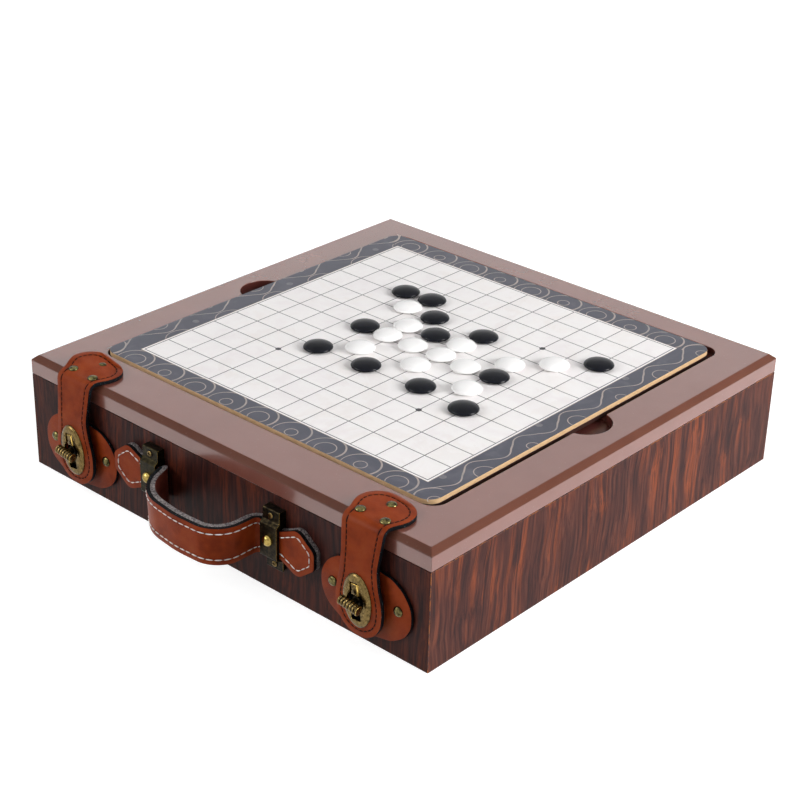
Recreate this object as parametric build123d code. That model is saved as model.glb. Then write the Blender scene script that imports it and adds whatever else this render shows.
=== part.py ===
from build123d import *

import math
import os

# Case and lid
case_side = 330.0
case_height = 75.8
lid_thickness = 12.5
seam_gap = 0.3
wall_thickness = 12.0
bottom_thickness = 6.0
bottom_rabbet = 6.0
lid_bevel_in = 3.6
lid_bevel_down = 3.1

# Recess in the lid, and the boards in it
lid_rim = 27.5
recess_side = case_side - 2 * lid_rim
recess_depth = 4.5
recess_corner = 10.0
recess_shift_y = 6.0
notch_radius = 16.5
notch_depth = 5.6
notch_overlap = 4.0
board_play = 5.0
board_side = recess_side - board_play
board_thickness = 3.0
board_corner = 9.0
board_gap_left = 0.8
board_gap_front = 1.5

# Stones on the printed grid, counted from the front left corner
print_border = 16.06
grid_margin = 1.76
grid_lines = 13
grid_pitch = (board_side - 2 * (print_border + grid_margin)) / (grid_lines - 1)
stone_gap = 0.53
stone_diameter = grid_pitch - stone_gap
stone_height = 4.8
stone_foot = 10.0
stone_waist_height = 1.6
black_places = [
    (3.0, 9.1), (4.1, 9.2), (5.1, 8.2), (3.9, 6.1), (3.9, 3.9), (6.0, 7.2),
    (7.2, 8.2), (5.9, 4.0), (8.1, 4.1), (9.3, 6.2), (10.0, 3.9), (11.1, 9.2),
]
white_places = [
    (3.9, 8.2), (4.9, 7.1), (4.9, 6.1), (4.9, 4.8), (6.0, 6.1), (7.1, 6.2),
    (7.1, 7.2), (7.0, 5.1), (8.2, 6.1), (9.1, 7.2), (9.2, 5.0), (10.1, 8.2),
]

# Inside of the case
liner_thickness = 1.5
divider_thickness = 5.0
divider_top_gap = 3.0
divider_fit = 0.15
lap_fit = 0.1

# Leather fittings on the front
fittings_shift_x = 1.8
strap_inset = 45.8
strap_spacing = case_side - 2 * strap_inset
leather_thickness = 2.6
patch_leather = 2.4
patch_width = 66.3
patch_height = 40.0
patch_straight_end = 4.0
patch_centre_z = 28.3

# Strap: tab on the lid, flap over the front
tab_width = 36.4
tab_length = 24.8
tab_round = 13.5
bend_width = 30.4
waist_width = 26.4
waist_z = 54.0
flap_width = 33.4
flap_bottom_z = 8.0
flap_crease_back = 2.0
flap_split = 0.3
flap_bend_out = 5.3
flap_bend_radius = 4.6
flap_hang_out = 6.9
flap_hang_z = 52.0
flap_hang_radius = 40.0

# Turn lock on each strap
lock_z = 30.2
plate_width = 20.5
plate_height = 33.0
plate_thickness = 1.2
plate_rim_height = 0.9
plate_rim_inset = 3.2
slot_width = 6.5
slot_height = 23.0
leather_slot_margin = 0.6
backplate_width = 17.0
backplate_height = 31.0
backplate_thickness = 0.8
plate_stud_radius = 0.8
plate_stud_margin = 1.8
plate_stud_spacing = slot_height + 2 * plate_stud_margin
lock_base_width = 18.0
lock_base_height = 28.0
lock_base_thickness = 1.2
lock_boss_radius = 2.8
lock_boss_length = 7.0
spindle_radius = 1.6
spindle_clearance = 0.05
spindle_depth = 8.0
knob_neck_radius = 2.1
knob_reach = 14.6
knob_core_radius = 2.3
knob_rib_radius = 2.8
knob_length = 13.5
knob_ribs = 7
knob_tilt = 8.0

# Handle and its brackets
handle_centre_z = 36.5
lining_thickness = 2.9
handle_leather = 2.4
handle_height = 24.4
handle_neck_height = 18.4
handle_reach = 40.0
handle_shoulder_x = 36.0
handle_shoulder_out = 26.5
handle_crown_radius = 60.0
handle_shoulder_radius = 11.0
handle_root_radius = 4.0
handle_root_x = 41.5
handle_full_height_x = 40.3
handle_neck_x = 44.0
handle_leaf_start_x = 57.5
handle_leaf_wide_x = 71.0
handle_leaf_end_x = 83.5
handle_leaf_height = 30.6
handle_leaf_tip_height = 11.0
handle_leaf_round = 5.0
handle_split_out = 7.2
handle_split_gap = 0.3
handle_swing = 15.0
bracket_spacing = 101.0
bracket_width = 13.0
bracket_mouth = 5.5
bracket_plate = 2.4
bracket_head_out = 5.4
bracket_head_top = 20.3
bracket_head_bottom = 13.0
bracket_plate_top = 11.3
bracket_plate_bottom = 9.6
bracket_foot_out = 2.6
bracket_foot_top = 12.2
bracket_foot_bottom = 19.4
bracket_stud_z = 1.6

# Hinges at the back
hinge_inset = 65.0
hinge_spacing = case_side - 2 * hinge_inset
hinge_width = 50.0
hinge_knuckles = 5
hinge_knuckle_radius = 2.5
hinge_knuckle_gap = 0.2
hinge_pin_radius = 1.3
hinge_pin_clearance = 0.05
hinge_leaf_thickness = 1.2
hinge_case_leaf = 13.0
hinge_lid_leaf = 9.0
hinge_stand_off = 0.1
hinge_screw_pitch = 17.0
hinge_screw_height = 6.2

# Rivets and screws
rivet_radius = 3.15
rivet_dome = 1.9
rivet_shank = 1.1
screw_head_radius = 2.2
screw_head_height = 0.9
screw_shank = 1.0
fastener_clearance = 0.05
lid_grip_length = 5.5
wall_grip_length = 8.0
stud_radius = 3.5
stud_dome = 3.0
lock_screw_radius = 1.5
lock_screw_height = 0.6
lock_screw_margin = 3.5
lock_screw_spacing = lock_base_height - 2 * lock_screw_margin
tab_rivet_spread = 18.0
tab_rivet_front = 0.4
tab_rivet_back = 16.6
patch_rivet_spread = 48.0
patch_rivet_z = 29.6

# Places worked out from the sizes above
half_side = case_side / 2
front_y = -half_side
back_y = half_side
seam_z = case_height - lid_thickness - seam_gap
lid_under_z = case_height - lid_thickness
recess_floor_z = case_height - recess_depth
inner_side = case_side - 2 * wall_thickness
cross_divider_spacing = inner_side / 3
patch_corner = (patch_height - patch_straight_end) / 2
board_x = -recess_side / 2 + board_gap_left + board_side / 2
board_y = recess_shift_y - recess_side / 2 + board_gap_front + board_side / 2
game_board_z = recess_floor_z + board_thickness
board_top_z = game_board_z + board_thickness
leather_top_z = case_height + leather_thickness
crease_y = front_y + flap_crease_back
patch_face_y = front_y - patch_leather
flap_inner_y = front_y - flap_hang_out + leather_thickness / 2
flap_outer_y = flap_inner_y - leather_thickness
hinge_y = back_y + hinge_stand_off + hinge_knuckle_radius
hinge_z = seam_z + seam_gap / 2
knob_y = front_y - knob_reach

SIDES = {"left": -1, "right": 1}
made = {}


def strap_x(side):
    """Centre of the strap on that side."""
    return fittings_shift_x + SIDES[side] * strap_spacing / 2


def bracket_x(side):
    """Centre of the handle bracket on that side."""
    return fittings_shift_x + SIDES[side] * bracket_spacing / 2


def front_plane(x, y, z):
    """Frame on the front, its Z pointing out of the case and its X to the right."""
    return Plane(origin=(x, y, z), x_dir=(1, 0, 0), z_dir=(0, -1, 0))


def back_plane(x, y, z):
    """Frame on the back, its Z pointing out of the case."""
    return Plane(origin=(x, y, z), x_dir=(-1, 0, 0), z_dir=(0, 1, 0))


def top_plane(x, y, z):
    """Frame on a level face, its Z pointing up."""
    return Plane(origin=(x, y, z), x_dir=(1, 0, 0), z_dir=(0, 0, 1))


def plate_on(plane, outline, thickness):
    """Flat plate of a given outline standing on a plane."""
    return extrude(plane * outline, amount=thickness, dir=plane.z_dir)


def bar_on(plane, radius, length, start=0.0):
    """Round bar along a plane's Z, from start."""
    return plane * (Pos(0, 0, start) * extrude(Circle(radius), amount=length))


def dome_fastener(plane, radius, dome, shank, grip):
    """Rivet or stud with a domed head on the plane and its shank going in."""
    ball = (radius**2 + dome**2) / (2 * dome)
    half_angle = math.asin(min(radius / ball, 1)) / 2
    arc = ThreePointArc(
        (radius, 0), (ball * math.sin(half_angle), dome - ball + ball * math.cos(half_angle)), (0, dome)
    )
    head = make_face([Line((0, 0), (radius, 0)), arc, Line((0, dome), (0, 0))])
    head = revolve(Plane.XZ * head, axis=Axis.Z)
    return plane * (head + Pos(0, 0, -grip) * extrude(Circle(shank), amount=grip + dome / 3))


def flat_fastener(plane, radius, height, shank, grip):
    """Screw with a low flat head on the plane and its shank going in."""
    head = extrude(Circle(radius), amount=height)
    head = fillet(head.edges().group_by(Axis.Z)[-1], height * 0.6)
    return plane * (head + Pos(0, 0, -grip) * extrude(Circle(shank), amount=grip + height / 3))


def drilled(piece, planes, shank, grip):
    """The piece with clearance holes for fasteners that enter at the planes."""
    for plane in planes:
        piece -= bar_on(plane, shank + fastener_clearance, 2 * grip + fastener_clearance, -grip - fastener_clearance)
    return piece


def mirrored(piece, x):
    """The piece mirrored left to right about an upright plane at x."""
    return mirror(piece, about=Plane(origin=(x, 0, 0), z_dir=(1, 0, 0)))


# Fastener places
def tab_rivet_planes(side):
    x = strap_x(side)
    spread = tab_rivet_spread / 2
    back = crease_y + tab_rivet_back
    front = crease_y + tab_rivet_front + rivet_radius
    return [
        top_plane(x - spread, front, leather_top_z),
        top_plane(x + spread, front, leather_top_z),
        top_plane(x, back, leather_top_z),
    ]


def patch_rivet_planes(side):
    x = strap_x(side)
    return [front_plane(x + s * patch_rivet_spread / 2, patch_face_y, patch_rivet_z) for s in (-1, 1)]


def lock_screw_planes(side):
    y = patch_face_y - lock_base_thickness
    return [front_plane(strap_x(side), y, lock_z + s * lock_screw_spacing / 2) for s in (-1, 1)]


def bracket_screw_planes(side):
    head_z = handle_centre_z + (bracket_head_top + bracket_head_bottom) / 2
    foot_z = handle_centre_z - (bracket_foot_top + bracket_foot_bottom) / 2
    return [
        front_plane(bracket_x(side), front_y - bracket_head_out, head_z),
        front_plane(bracket_x(side), front_y - bracket_foot_out, foot_z),
    ]


def bracket_stud_plane(side):
    out = bracket_mouth + bracket_plate
    return front_plane(bracket_x(side), front_y - out, handle_centre_z + bracket_stud_z)


def hinge_screw_planes(side, z):
    x = SIDES[side] * hinge_spacing / 2
    y = back_y + hinge_leaf_thickness
    return [back_plane(x + step * hinge_screw_pitch, y, z) for step in (-1, 0, 1)]


case_screw_z = hinge_z - hinge_case_leaf + hinge_leaf_thickness + screw_head_radius + 0.6
lid_screw_z = hinge_z + hinge_screw_height
stud_grip = bracket_mouth + bracket_plate + wall_grip_length


# Case
def wall_blank():
    """Front wall with mitred ends and a rabbet for the bottom panel."""
    inner = half_side - wall_thickness
    outline = Polyline(
        (-half_side, -half_side), (half_side, -half_side), (inner, -inner), (-inner, -inner), close=True
    )
    wall = extrude(make_face(outline), amount=seam_z)
    rabbet_side = case_side - 2 * bottom_rabbet
    return wall - extrude(Rectangle(rabbet_side, rabbet_side), amount=bottom_thickness)


def make_case():
    blank = wall_blank()
    front = blank
    for side in SIDES:
        front = drilled(front, patch_rivet_planes(side), rivet_shank, patch_leather + wall_grip_length)
        front = drilled(front, lock_screw_planes(side), screw_shank,
                        lock_base_thickness + patch_leather + wall_grip_length)
        front = drilled(front, bracket_screw_planes(side)[:1], screw_shank, bracket_head_out + wall_grip_length)
        front = drilled(front, bracket_screw_planes(side)[1:], screw_shank, bracket_foot_out + wall_grip_length)
        front = drilled(front, [bracket_stud_plane(side)], rivet_shank, stud_grip)
    back = Rot(0, 0, 180) * blank
    for side in SIDES:
        back = drilled(back, hinge_screw_planes(side, case_screw_z), screw_shank,
                       hinge_leaf_thickness + wall_grip_length)
    made["front_wall"] = front
    made["back_wall"] = back
    made["right_wall"] = Rot(0, 0, 90) * blank
    made["left_wall"] = Rot(0, 0, -90) * blank
    panel_side = case_side - 2 * bottom_rabbet
    made["bottom_panel"] = extrude(Rectangle(panel_side, panel_side), amount=bottom_thickness)


def make_inside():
    """Felt on the bottom panel and three lapped dividers on the felt."""
    fitted = inner_side - 2 * divider_fit
    made["base_liner"] = Pos(0, 0, bottom_thickness) * extrude(Rectangle(fitted, fitted), amount=liner_thickness)
    low = bottom_thickness + liner_thickness
    height = seam_z - divider_top_gap - low
    slot = divider_thickness + 2 * lap_fit
    long_bar = Pos(0, 0, low) * extrude(Rectangle(fitted, divider_thickness), amount=height)
    for side, sign in SIDES.items():
        x = sign * cross_divider_spacing / 2
        long_bar -= Pos(x, 0, low + height / 2) * extrude(Rectangle(slot, slot), amount=height)
        cross = Pos(x, 0, low) * extrude(Rectangle(divider_thickness, fitted), amount=height)
        cross -= Pos(x, 0, low - lap_fit) * extrude(Rectangle(slot, slot), amount=height / 2 + lap_fit)
        made[f"divider_cross_{side}"] = cross
    made["divider_long"] = long_bar


def make_lid():
    lid = Pos(0, 0, lid_under_z) * extrude(Rectangle(case_side, case_side), amount=lid_thickness)
    lid = chamfer(
        lid.faces().sort_by(Axis.Z)[-1].edges(), length=lid_bevel_in, length2=lid_bevel_down,
        reference=lid.faces().sort_by(Axis.Z)[-1],
    )
    recess = extrude(RectangleRounded(recess_side, recess_side, recess_corner), amount=recess_depth)
    lid -= Pos(0, recess_shift_y, recess_floor_z) * recess
    for sign in SIDES.values():
        x = sign * (recess_side / 2 - notch_overlap)
        lid -= Pos(x, recess_shift_y, case_height - notch_depth) * extrude(Circle(notch_radius), amount=notch_depth)
    for side in SIDES:
        lid = drilled(lid, tab_rivet_planes(side), rivet_shank, leather_thickness + lid_grip_length)
        lid = drilled(lid, hinge_screw_planes(side, lid_screw_z), screw_shank,
                      hinge_leaf_thickness + wall_grip_length)
    made["lid_panel"] = lid
    lining_side = inner_side - 4 * liner_thickness
    lining = extrude(Rectangle(lining_side, lining_side), amount=-liner_thickness)
    made["lid_liner"] = Pos(0, 0, lid_under_z) * lining


def make_boards():
    outline = RectangleRounded(board_side, board_side, board_corner)
    made["lower_board"] = Pos(board_x, board_y, recess_floor_z) * extrude(outline, amount=board_thickness)
    made["game_board"] = Pos(board_x, board_y, game_board_z) * extrude(outline, amount=board_thickness)


def stone():
    """One stone: flat foot, rounded underside, widest low down, domed top."""
    radius = stone_diameter / 2
    foot = stone_foot / 2
    under = ThreePointArc(
        (foot, 0), ((foot + radius) / 2 + 0.25, stone_waist_height * 0.32), (radius, stone_waist_height)
    )
    rise = stone_height - stone_waist_height
    dome = (radius**2 + rise**2) / (2 * rise)
    half_angle = math.asin(radius / dome) / 2
    over = ThreePointArc(
        (radius, stone_waist_height),
        (dome * math.sin(half_angle), stone_height - dome + dome * math.cos(half_angle)),
        (0, stone_height),
    )
    half = make_face([Line((0, 0), (foot, 0)), under, over, Line((0, stone_height), (0, 0))])
    return revolve(Plane.XZ * half, axis=Axis.Z)


def make_stones():
    piece = stone()
    middle = (grid_lines - 1) / 2
    for name, places in (("stones_black", black_places), ("stones_white", white_places)):
        made[name] = Compound(children=[
            Pos(board_x + (i - middle) * grid_pitch, board_y + (j - middle) * grid_pitch, board_top_z) * piece
            for i, j in places
        ])


# Straps and turn locks
def strap_tab(side):
    """Leather lying on the lid, from the crease back to the rounded end."""
    x = strap_x(side)
    end_y = crease_y + tab_length
    round_y = end_y - tab_round
    outline = make_face([
        Line((-bend_width / 2, crease_y), (bend_width / 2, crease_y)),
        ThreePointArc((bend_width / 2, crease_y), (tab_width / 2 - 0.5, (crease_y + round_y) / 2),
                      (tab_width / 2, round_y)),
        ThreePointArc((tab_width / 2, round_y), (0, end_y), (-tab_width / 2, round_y)),
        ThreePointArc((-tab_width / 2, round_y), (-tab_width / 2 + 0.5, (crease_y + round_y) / 2),
                      (-bend_width / 2, crease_y)),
    ])
    tab = plate_on(top_plane(x, 0, case_height), outline, leather_thickness)
    return drilled(tab, tab_rivet_planes(side), rivet_shank, leather_thickness)


def flap_profile():
    """Middle line of the hanging leather, seen from the side."""
    top = case_height + leather_thickness / 2
    return FilletPolyline(
        (0, crease_y - flap_split, top),
        (0, front_y - flap_bend_out + leather_thickness / 2, top),
        (0, front_y - flap_hang_out, flap_hang_z),
        (0, front_y - flap_hang_out, flap_bottom_z),
        radius=[flap_bend_radius, flap_hang_radius],
    )


def flap_outline():
    """Front view of the hanging leather: waisted sides and a round end."""
    half = flap_width / 2
    bend = bend_width / 2
    waist = waist_width / 2
    round_z = flap_bottom_z + half
    return make_face([
        Line((-bend, leather_top_z), (bend, leather_top_z)),
        ThreePointArc((bend, leather_top_z), (waist, waist_z), (half, lock_z)),
        Line((half, lock_z), (half, round_z)),
        ThreePointArc((half, round_z), (0, flap_bottom_z), (-half, round_z)),
        Line((-half, round_z), (-half, lock_z)),
        ThreePointArc((-half, lock_z), (-waist, waist_z), (-bend, leather_top_z)),
    ])


def plate_studs(side):
    """Two studs of the oval plate that pass through the leather and the back plate."""
    y = flap_outer_y - plate_thickness / 2
    return [front_plane(strap_x(side), y, lock_z + s * plate_stud_spacing / 2) for s in (-1, 1)]


def strap_flap(side):
    x = strap_x(side)
    path = flap_profile()
    section = Plane(origin=path @ 0, x_dir=(1, 0, 0), z_dir=path % 0) * Rectangle(2 * flap_width, leather_thickness)
    leather = sweep(section, path=path)
    block = extrude(front_plane(0, 0, 0) * flap_outline(), amount=case_side)
    leather = leather & block
    leather = Pos(x, 0, 0) * leather
    slot = SlotOverall(slot_height + 2 * leather_slot_margin, slot_width + 2 * leather_slot_margin)
    leather -= extrude(front_plane(x, front_y, lock_z) * (Rot(0, 0, 90) * slot), amount=knob_reach)
    for plane in plate_studs(side):
        leather -= bar_on(plane, plate_stud_radius + fastener_clearance, 2 * leather_thickness, -2 * leather_thickness)
    return leather


def latch_plate(side):
    """Oval plate with a raised rim, an upright slot and two studs at its back."""
    x = strap_x(side)
    plane = front_plane(x, flap_outer_y, lock_z)
    plate = extrude(Ellipse(plate_width / 2, plate_height / 2), amount=plate_thickness)
    rim = extrude(Ellipse(plate_width / 2 - 0.6, plate_height / 2 - 0.6), amount=plate_thickness + plate_rim_height)
    rim -= extrude(
        Ellipse(plate_width / 2 - plate_rim_inset, plate_height / 2 - plate_rim_inset),
        amount=plate_thickness + plate_rim_height,
    )
    plate += rim
    plate -= extrude(Rectangle(slot_width, slot_height), amount=2 * plate_thickness + plate_rim_height)
    plate = plane * plate
    stud_length = leather_thickness + backplate_thickness + plate_thickness / 2
    for stud in plate_studs(side):
        plate += bar_on(stud, plate_stud_radius, stud_length, -stud_length)
    return plate


def latch_backplate(side):
    x = strap_x(side)
    plane = front_plane(x, flap_inner_y + backplate_thickness, lock_z)
    plate = extrude(Ellipse(backplate_width / 2, backplate_height / 2), amount=backplate_thickness)
    plate -= extrude(Rectangle(slot_width, slot_height), amount=backplate_thickness)
    plate = plane * plate
    for stud in plate_studs(side):
        plate -= bar_on(stud, plate_stud_radius + fastener_clearance, 3 * leather_thickness, -3 * leather_thickness)
    return plate


def base_patch(side):
    """Leather patch on the front wall behind the strap."""
    x = strap_x(side)
    patch = plate_on(
        front_plane(x, front_y, patch_centre_z), RectangleRounded(patch_width, patch_height, patch_corner),
        patch_leather,
    )
    patch = drilled(patch, patch_rivet_planes(side), rivet_shank, patch_leather)
    patch = drilled(patch, lock_screw_planes(side), screw_shank, lock_base_thickness + patch_leather)
    return patch - spindle_bore(side)


def spindle_bore(side):
    depth = patch_leather + lock_boss_length
    return bar_on(front_plane(strap_x(side), patch_face_y, lock_z), spindle_radius + spindle_clearance,
                  depth, -patch_leather)


def lock_base(side):
    """Base plate of the turn lock with the boss that carries the knob's spindle."""
    x = strap_x(side)
    plane = front_plane(x, patch_face_y, lock_z)
    base = plane * extrude(Ellipse(lock_base_width / 2, lock_base_height / 2), amount=lock_base_thickness)
    base += bar_on(plane, lock_boss_radius, lock_boss_length)
    base = drilled(base, lock_screw_planes(side), screw_shank, lock_base_thickness)
    return base - spindle_bore(side)


def turn_knob(side):
    """Spindle, neck and ribbed barrel lying across the slot."""
    x = strap_x(side)
    boss_face_y = patch_face_y - lock_boss_length
    plane = front_plane(x, boss_face_y, lock_z)
    neck = boss_face_y - knob_y
    knob = bar_on(plane, spindle_radius, spindle_depth + neck, -spindle_depth)
    knob += bar_on(plane, knob_neck_radius, neck - 2 * spindle_clearance, 2 * spindle_clearance)
    barrel = Pos(0, 0, -knob_length / 2) * extrude(Circle(knob_core_radius), amount=knob_length)
    rib_pitch = knob_length / (2 * knob_ribs - 1)
    for n in range(knob_ribs):
        rib = extrude(Circle(knob_rib_radius), amount=rib_pitch)
        barrel += Pos(0, 0, -knob_length / 2 + 2 * n * rib_pitch) * rib
    barrel = Rot(0, knob_tilt, 0) * (Rot(0, 90, 0) * barrel)
    return knob + Pos(x, knob_y, lock_z) * barrel


def make_straps():
    for side in SIDES:
        made[f"strap_tab_{side}"] = strap_tab(side)
        made[f"strap_flap_{side}"] = strap_flap(side)
        made[f"latch_plate_{side}"] = latch_plate(side)
        made[f"latch_backplate_{side}"] = latch_backplate(side)
        made[f"base_patch_{side}"] = base_patch(side)
        made[f"lock_base_{side}"] = lock_base(side)
        made[f"turn_knob_{side}"] = turn_knob(side)


# Handle
def handle_path():
    """Line between the handle's two layers, seen from above, from end to end."""
    wall_out = lining_thickness
    end_x = handle_leaf_end_x + handle_leaf_round
    inner = handle_leather
    half = [
        (end_x, wall_out),
        (handle_root_x, wall_out),
        (handle_shoulder_x - inner, handle_shoulder_out - inner),
        (0, handle_reach - inner),
    ]
    points = [(-x, y) for x, y in half[:-1]] + half[::-1]
    return FilletPolyline(
        *[(fittings_shift_x + x, front_y - y, handle_centre_z) for x, y in points],
        radius=[handle_root_radius, handle_shoulder_radius, handle_crown_radius,
                handle_shoulder_radius, handle_root_radius],
    )


def handle_outline():
    """Front view of the handle: leaf ends, necks under the brackets and the full grip."""
    upper = [
        (handle_full_height_x, handle_height / 2),
        (handle_neck_x, handle_neck_height / 2),
        (handle_leaf_start_x, handle_neck_height / 2),
        (handle_leaf_wide_x, handle_leaf_height / 2),
        (handle_leaf_end_x, handle_leaf_tip_height / 2),
    ]
    right = upper + [(x, -z) for x, z in reversed(upper)]
    left = [(-x, z) for x, z in reversed(right)]
    outline = make_face(Polyline(*right, *left, close=True))
    return fillet(outline.vertices(), handle_leaf_round * 0.45)


def handle_layer(inner, outer):
    """One layer of the whole handle between two distances from the middle line, outwards."""
    path = handle_path()
    start = Plane(origin=path @ 0, x_dir=(0, 0, 1), z_dir=path % 0)
    tall = handle_leaf_height + 2 * handle_leaf_round
    out = start.y_dir.dot(Vector(0, -1, 0))
    section = Pos(0, out * (inner + outer) / 2) * Rectangle(tall, outer - inner)
    layer = sweep(start * section, path=path)
    block = extrude(front_plane(fittings_shift_x, 0, handle_centre_z) * handle_outline(), amount=case_side)
    return layer & block


def grip_space():
    """Space that belongs to the swinging grip: everything outside a shallow V at each root."""
    tilt = math.tan(math.radians(handle_swing + 1))
    pivot = front_y - handle_split_out
    edge = pivot - handle_split_gap
    reach = handle_leaf_height
    side_view = Polyline(
        (edge, 0), (edge - reach * tilt, reach), (edge - 3 * reach, reach),
        (edge - 3 * reach, -reach), (edge - reach * tilt, -reach), close=True,
    )
    face = make_face(side_view)
    plane = Plane(origin=(fittings_shift_x - handle_leaf_end_x, 0, handle_centre_z), x_dir=(0, 1, 0), z_dir=(1, 0, 0))
    return extrude(plane * face, amount=2 * handle_leaf_end_x)


def root_space():
    """Space of the fixed roots and leaves on one side, up to the swing axis."""
    deep = handle_split_out
    box = Box(case_side, deep, case_height, align=(Align.MIN, Align.MAX, Align.CENTER))
    return Pos(fittings_shift_x, front_y, handle_centre_z) * box


def make_handle():
    layers = {
        "handle_grip": handle_layer(0, handle_leather),
        "handle_lining": handle_layer(-lining_thickness, 0),
    }
    for name, layer in layers.items():
        made[name] = layer & grip_space()
        tail = "leaf" if name == "handle_grip" else "leaf_lining"
        for side, sign in SIDES.items():
            space = root_space()
            if sign < 0:
                space = mirrored(space, fittings_shift_x)
            root = layer & space
            made[f"handle_{tail}_{side}"] = drilled(root, [bracket_stud_plane(side)], rivet_shank, stud_grip)


def bracket(side):
    """Clamp over the handle's root: screwed head above, plate over the leather, foot below."""
    out = bracket_mouth + bracket_plate
    profile = make_face(Polyline(
        (0, bracket_head_top), (bracket_head_out, bracket_head_top), (bracket_head_out, bracket_head_bottom),
        (out, bracket_plate_top), (out, -bracket_plate_bottom), (bracket_foot_out, -bracket_foot_top),
        (bracket_foot_out, -bracket_foot_bottom), (0, -bracket_foot_bottom),
        (0, -bracket_plate_bottom), (bracket_mouth, -bracket_plate_bottom + 0.2),
        (bracket_mouth, bracket_plate_bottom), (0, bracket_plate_bottom), close=True,
    ))
    plane = Plane(
        origin=(bracket_x(side) - bracket_width / 2, front_y, handle_centre_z), x_dir=(0, -1, 0), z_dir=(-1, 0, 0)
    )
    body = extrude(plane * profile, amount=-bracket_width)
    body = drilled(body, bracket_screw_planes(side), screw_shank, bracket_head_out + wall_grip_length)
    return drilled(body, [bracket_stud_plane(side)], rivet_shank, stud_grip)


# Hinges
def knuckles(side, first):
    """Knuckle cylinders of one leaf, as (start, length) along X."""
    step = hinge_width / hinge_knuckles
    left = SIDES[side] * hinge_spacing / 2 - hinge_width / 2
    return [(left + n * step + hinge_knuckle_gap / 2, step - hinge_knuckle_gap)
            for n in range(first, hinge_knuckles, 2)]


def hinge_leaf(side, first, height, sign, screw_z):
    """One leaf: a plate on the wood that runs into its knuckles round the pin."""
    middle = SIDES[side] * hinge_spacing / 2
    clear = hinge_knuckle_radius + 2 * hinge_knuckle_gap
    near = hinge_z + sign * clear
    far = hinge_z + sign * height
    low = min(near, far)
    leaf = Pos(middle, back_y, low) * Box(
        hinge_width, hinge_leaf_thickness, abs(far - near), align=(Align.CENTER, Align.MIN, Align.MIN)
    )
    bore = hinge_pin_radius + hinge_pin_clearance
    for start, length in knuckles(side, first):
        barrel = Plane(origin=(start, hinge_y, hinge_z), x_dir=(0, 1, 0), z_dir=(1, 0, 0))
        leaf += extrude(barrel * Circle(hinge_knuckle_radius), amount=length)
        web_low = min(hinge_z, near)
        leaf += Pos(start, back_y, web_low) * Box(
            length, hinge_leaf_thickness + hinge_stand_off, clear, align=(Align.MIN, Align.MIN, Align.MIN)
        )
        leaf -= extrude(barrel * Circle(bore), amount=length)
    return drilled(leaf, hinge_screw_planes(side, screw_z), screw_shank, hinge_leaf_thickness)


def make_hinges():
    for side in SIDES:
        made[f"hinge_case_leaf_{side}"] = hinge_leaf(side, 0, hinge_case_leaf, -1, case_screw_z)
        made[f"hinge_lid_leaf_{side}"] = hinge_leaf(side, 1, hinge_lid_leaf, 1, lid_screw_z)
    pins = []
    for sign in SIDES.values():
        left = sign * hinge_spacing / 2 - hinge_width / 2
        plane = Plane(origin=(left, hinge_y, hinge_z), x_dir=(0, 1, 0), z_dir=(1, 0, 0))
        pins.append(extrude(plane * Circle(hinge_pin_radius), amount=hinge_width))
    made["hinge_pins"] = Compound(children=pins)


def make_fasteners():
    """Identical fasteners share a node."""
    both = list(SIDES)
    made["tab_rivets"] = Compound(children=[
        dome_fastener(p, rivet_radius, rivet_dome, rivet_shank, leather_thickness + lid_grip_length)
        for side in both for p in tab_rivet_planes(side)
    ])
    made["patch_rivets"] = Compound(children=[
        dome_fastener(p, rivet_radius, rivet_dome, rivet_shank, patch_leather + wall_grip_length)
        for side in both for p in patch_rivet_planes(side)
    ])
    made["lock_base_screws"] = Compound(children=[
        flat_fastener(p, lock_screw_radius, lock_screw_height, screw_shank,
                      lock_base_thickness + patch_leather + wall_grip_length)
        for side in both for p in lock_screw_planes(side)
    ])
    bracket_screws = []
    for side in both:
        outs = (bracket_head_out, bracket_foot_out)
        for plane, out in zip(bracket_screw_planes(side), outs):
            bracket_screws.append(
                flat_fastener(plane, screw_head_radius, screw_head_height, screw_shank, out + wall_grip_length)
            )
    made["bracket_screws"] = Compound(children=bracket_screws)
    made["bracket_studs"] = Compound(children=[
        dome_fastener(bracket_stud_plane(side), stud_radius, stud_dome, rivet_shank, stud_grip) for side in both
    ])
    made["hinge_case_screws"] = Compound(children=[
        flat_fastener(p, screw_head_radius, screw_head_height, screw_shank, hinge_leaf_thickness + wall_grip_length)
        for side in both for p in hinge_screw_planes(side, case_screw_z)
    ])
    made["hinge_lid_screws"] = Compound(children=[
        flat_fastener(p, screw_head_radius, screw_head_height, screw_shank, hinge_leaf_thickness + wall_grip_length)
        for side in both for p in hinge_screw_planes(side, lid_screw_z)
    ])


make_case()
make_inside()
make_lid()
make_boards()
make_stones()
make_straps()
make_handle()
for side_name in SIDES:
    made[f"bracket_{side_name}"] = bracket(side_name)
make_hinges()
make_fasteners()

os.makedirs("parts", exist_ok=True)
for node, piece in made.items():
    export_step(piece, f"parts/{node}.step")
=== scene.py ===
"""Board game storage box: finished pieces, materials and studio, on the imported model."""

import logging
import math
from dataclasses import dataclass, field
from enum import Enum
from typing import Callable, Iterable, Sequence

import bpy
from mathutils import Matrix, Vector


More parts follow.
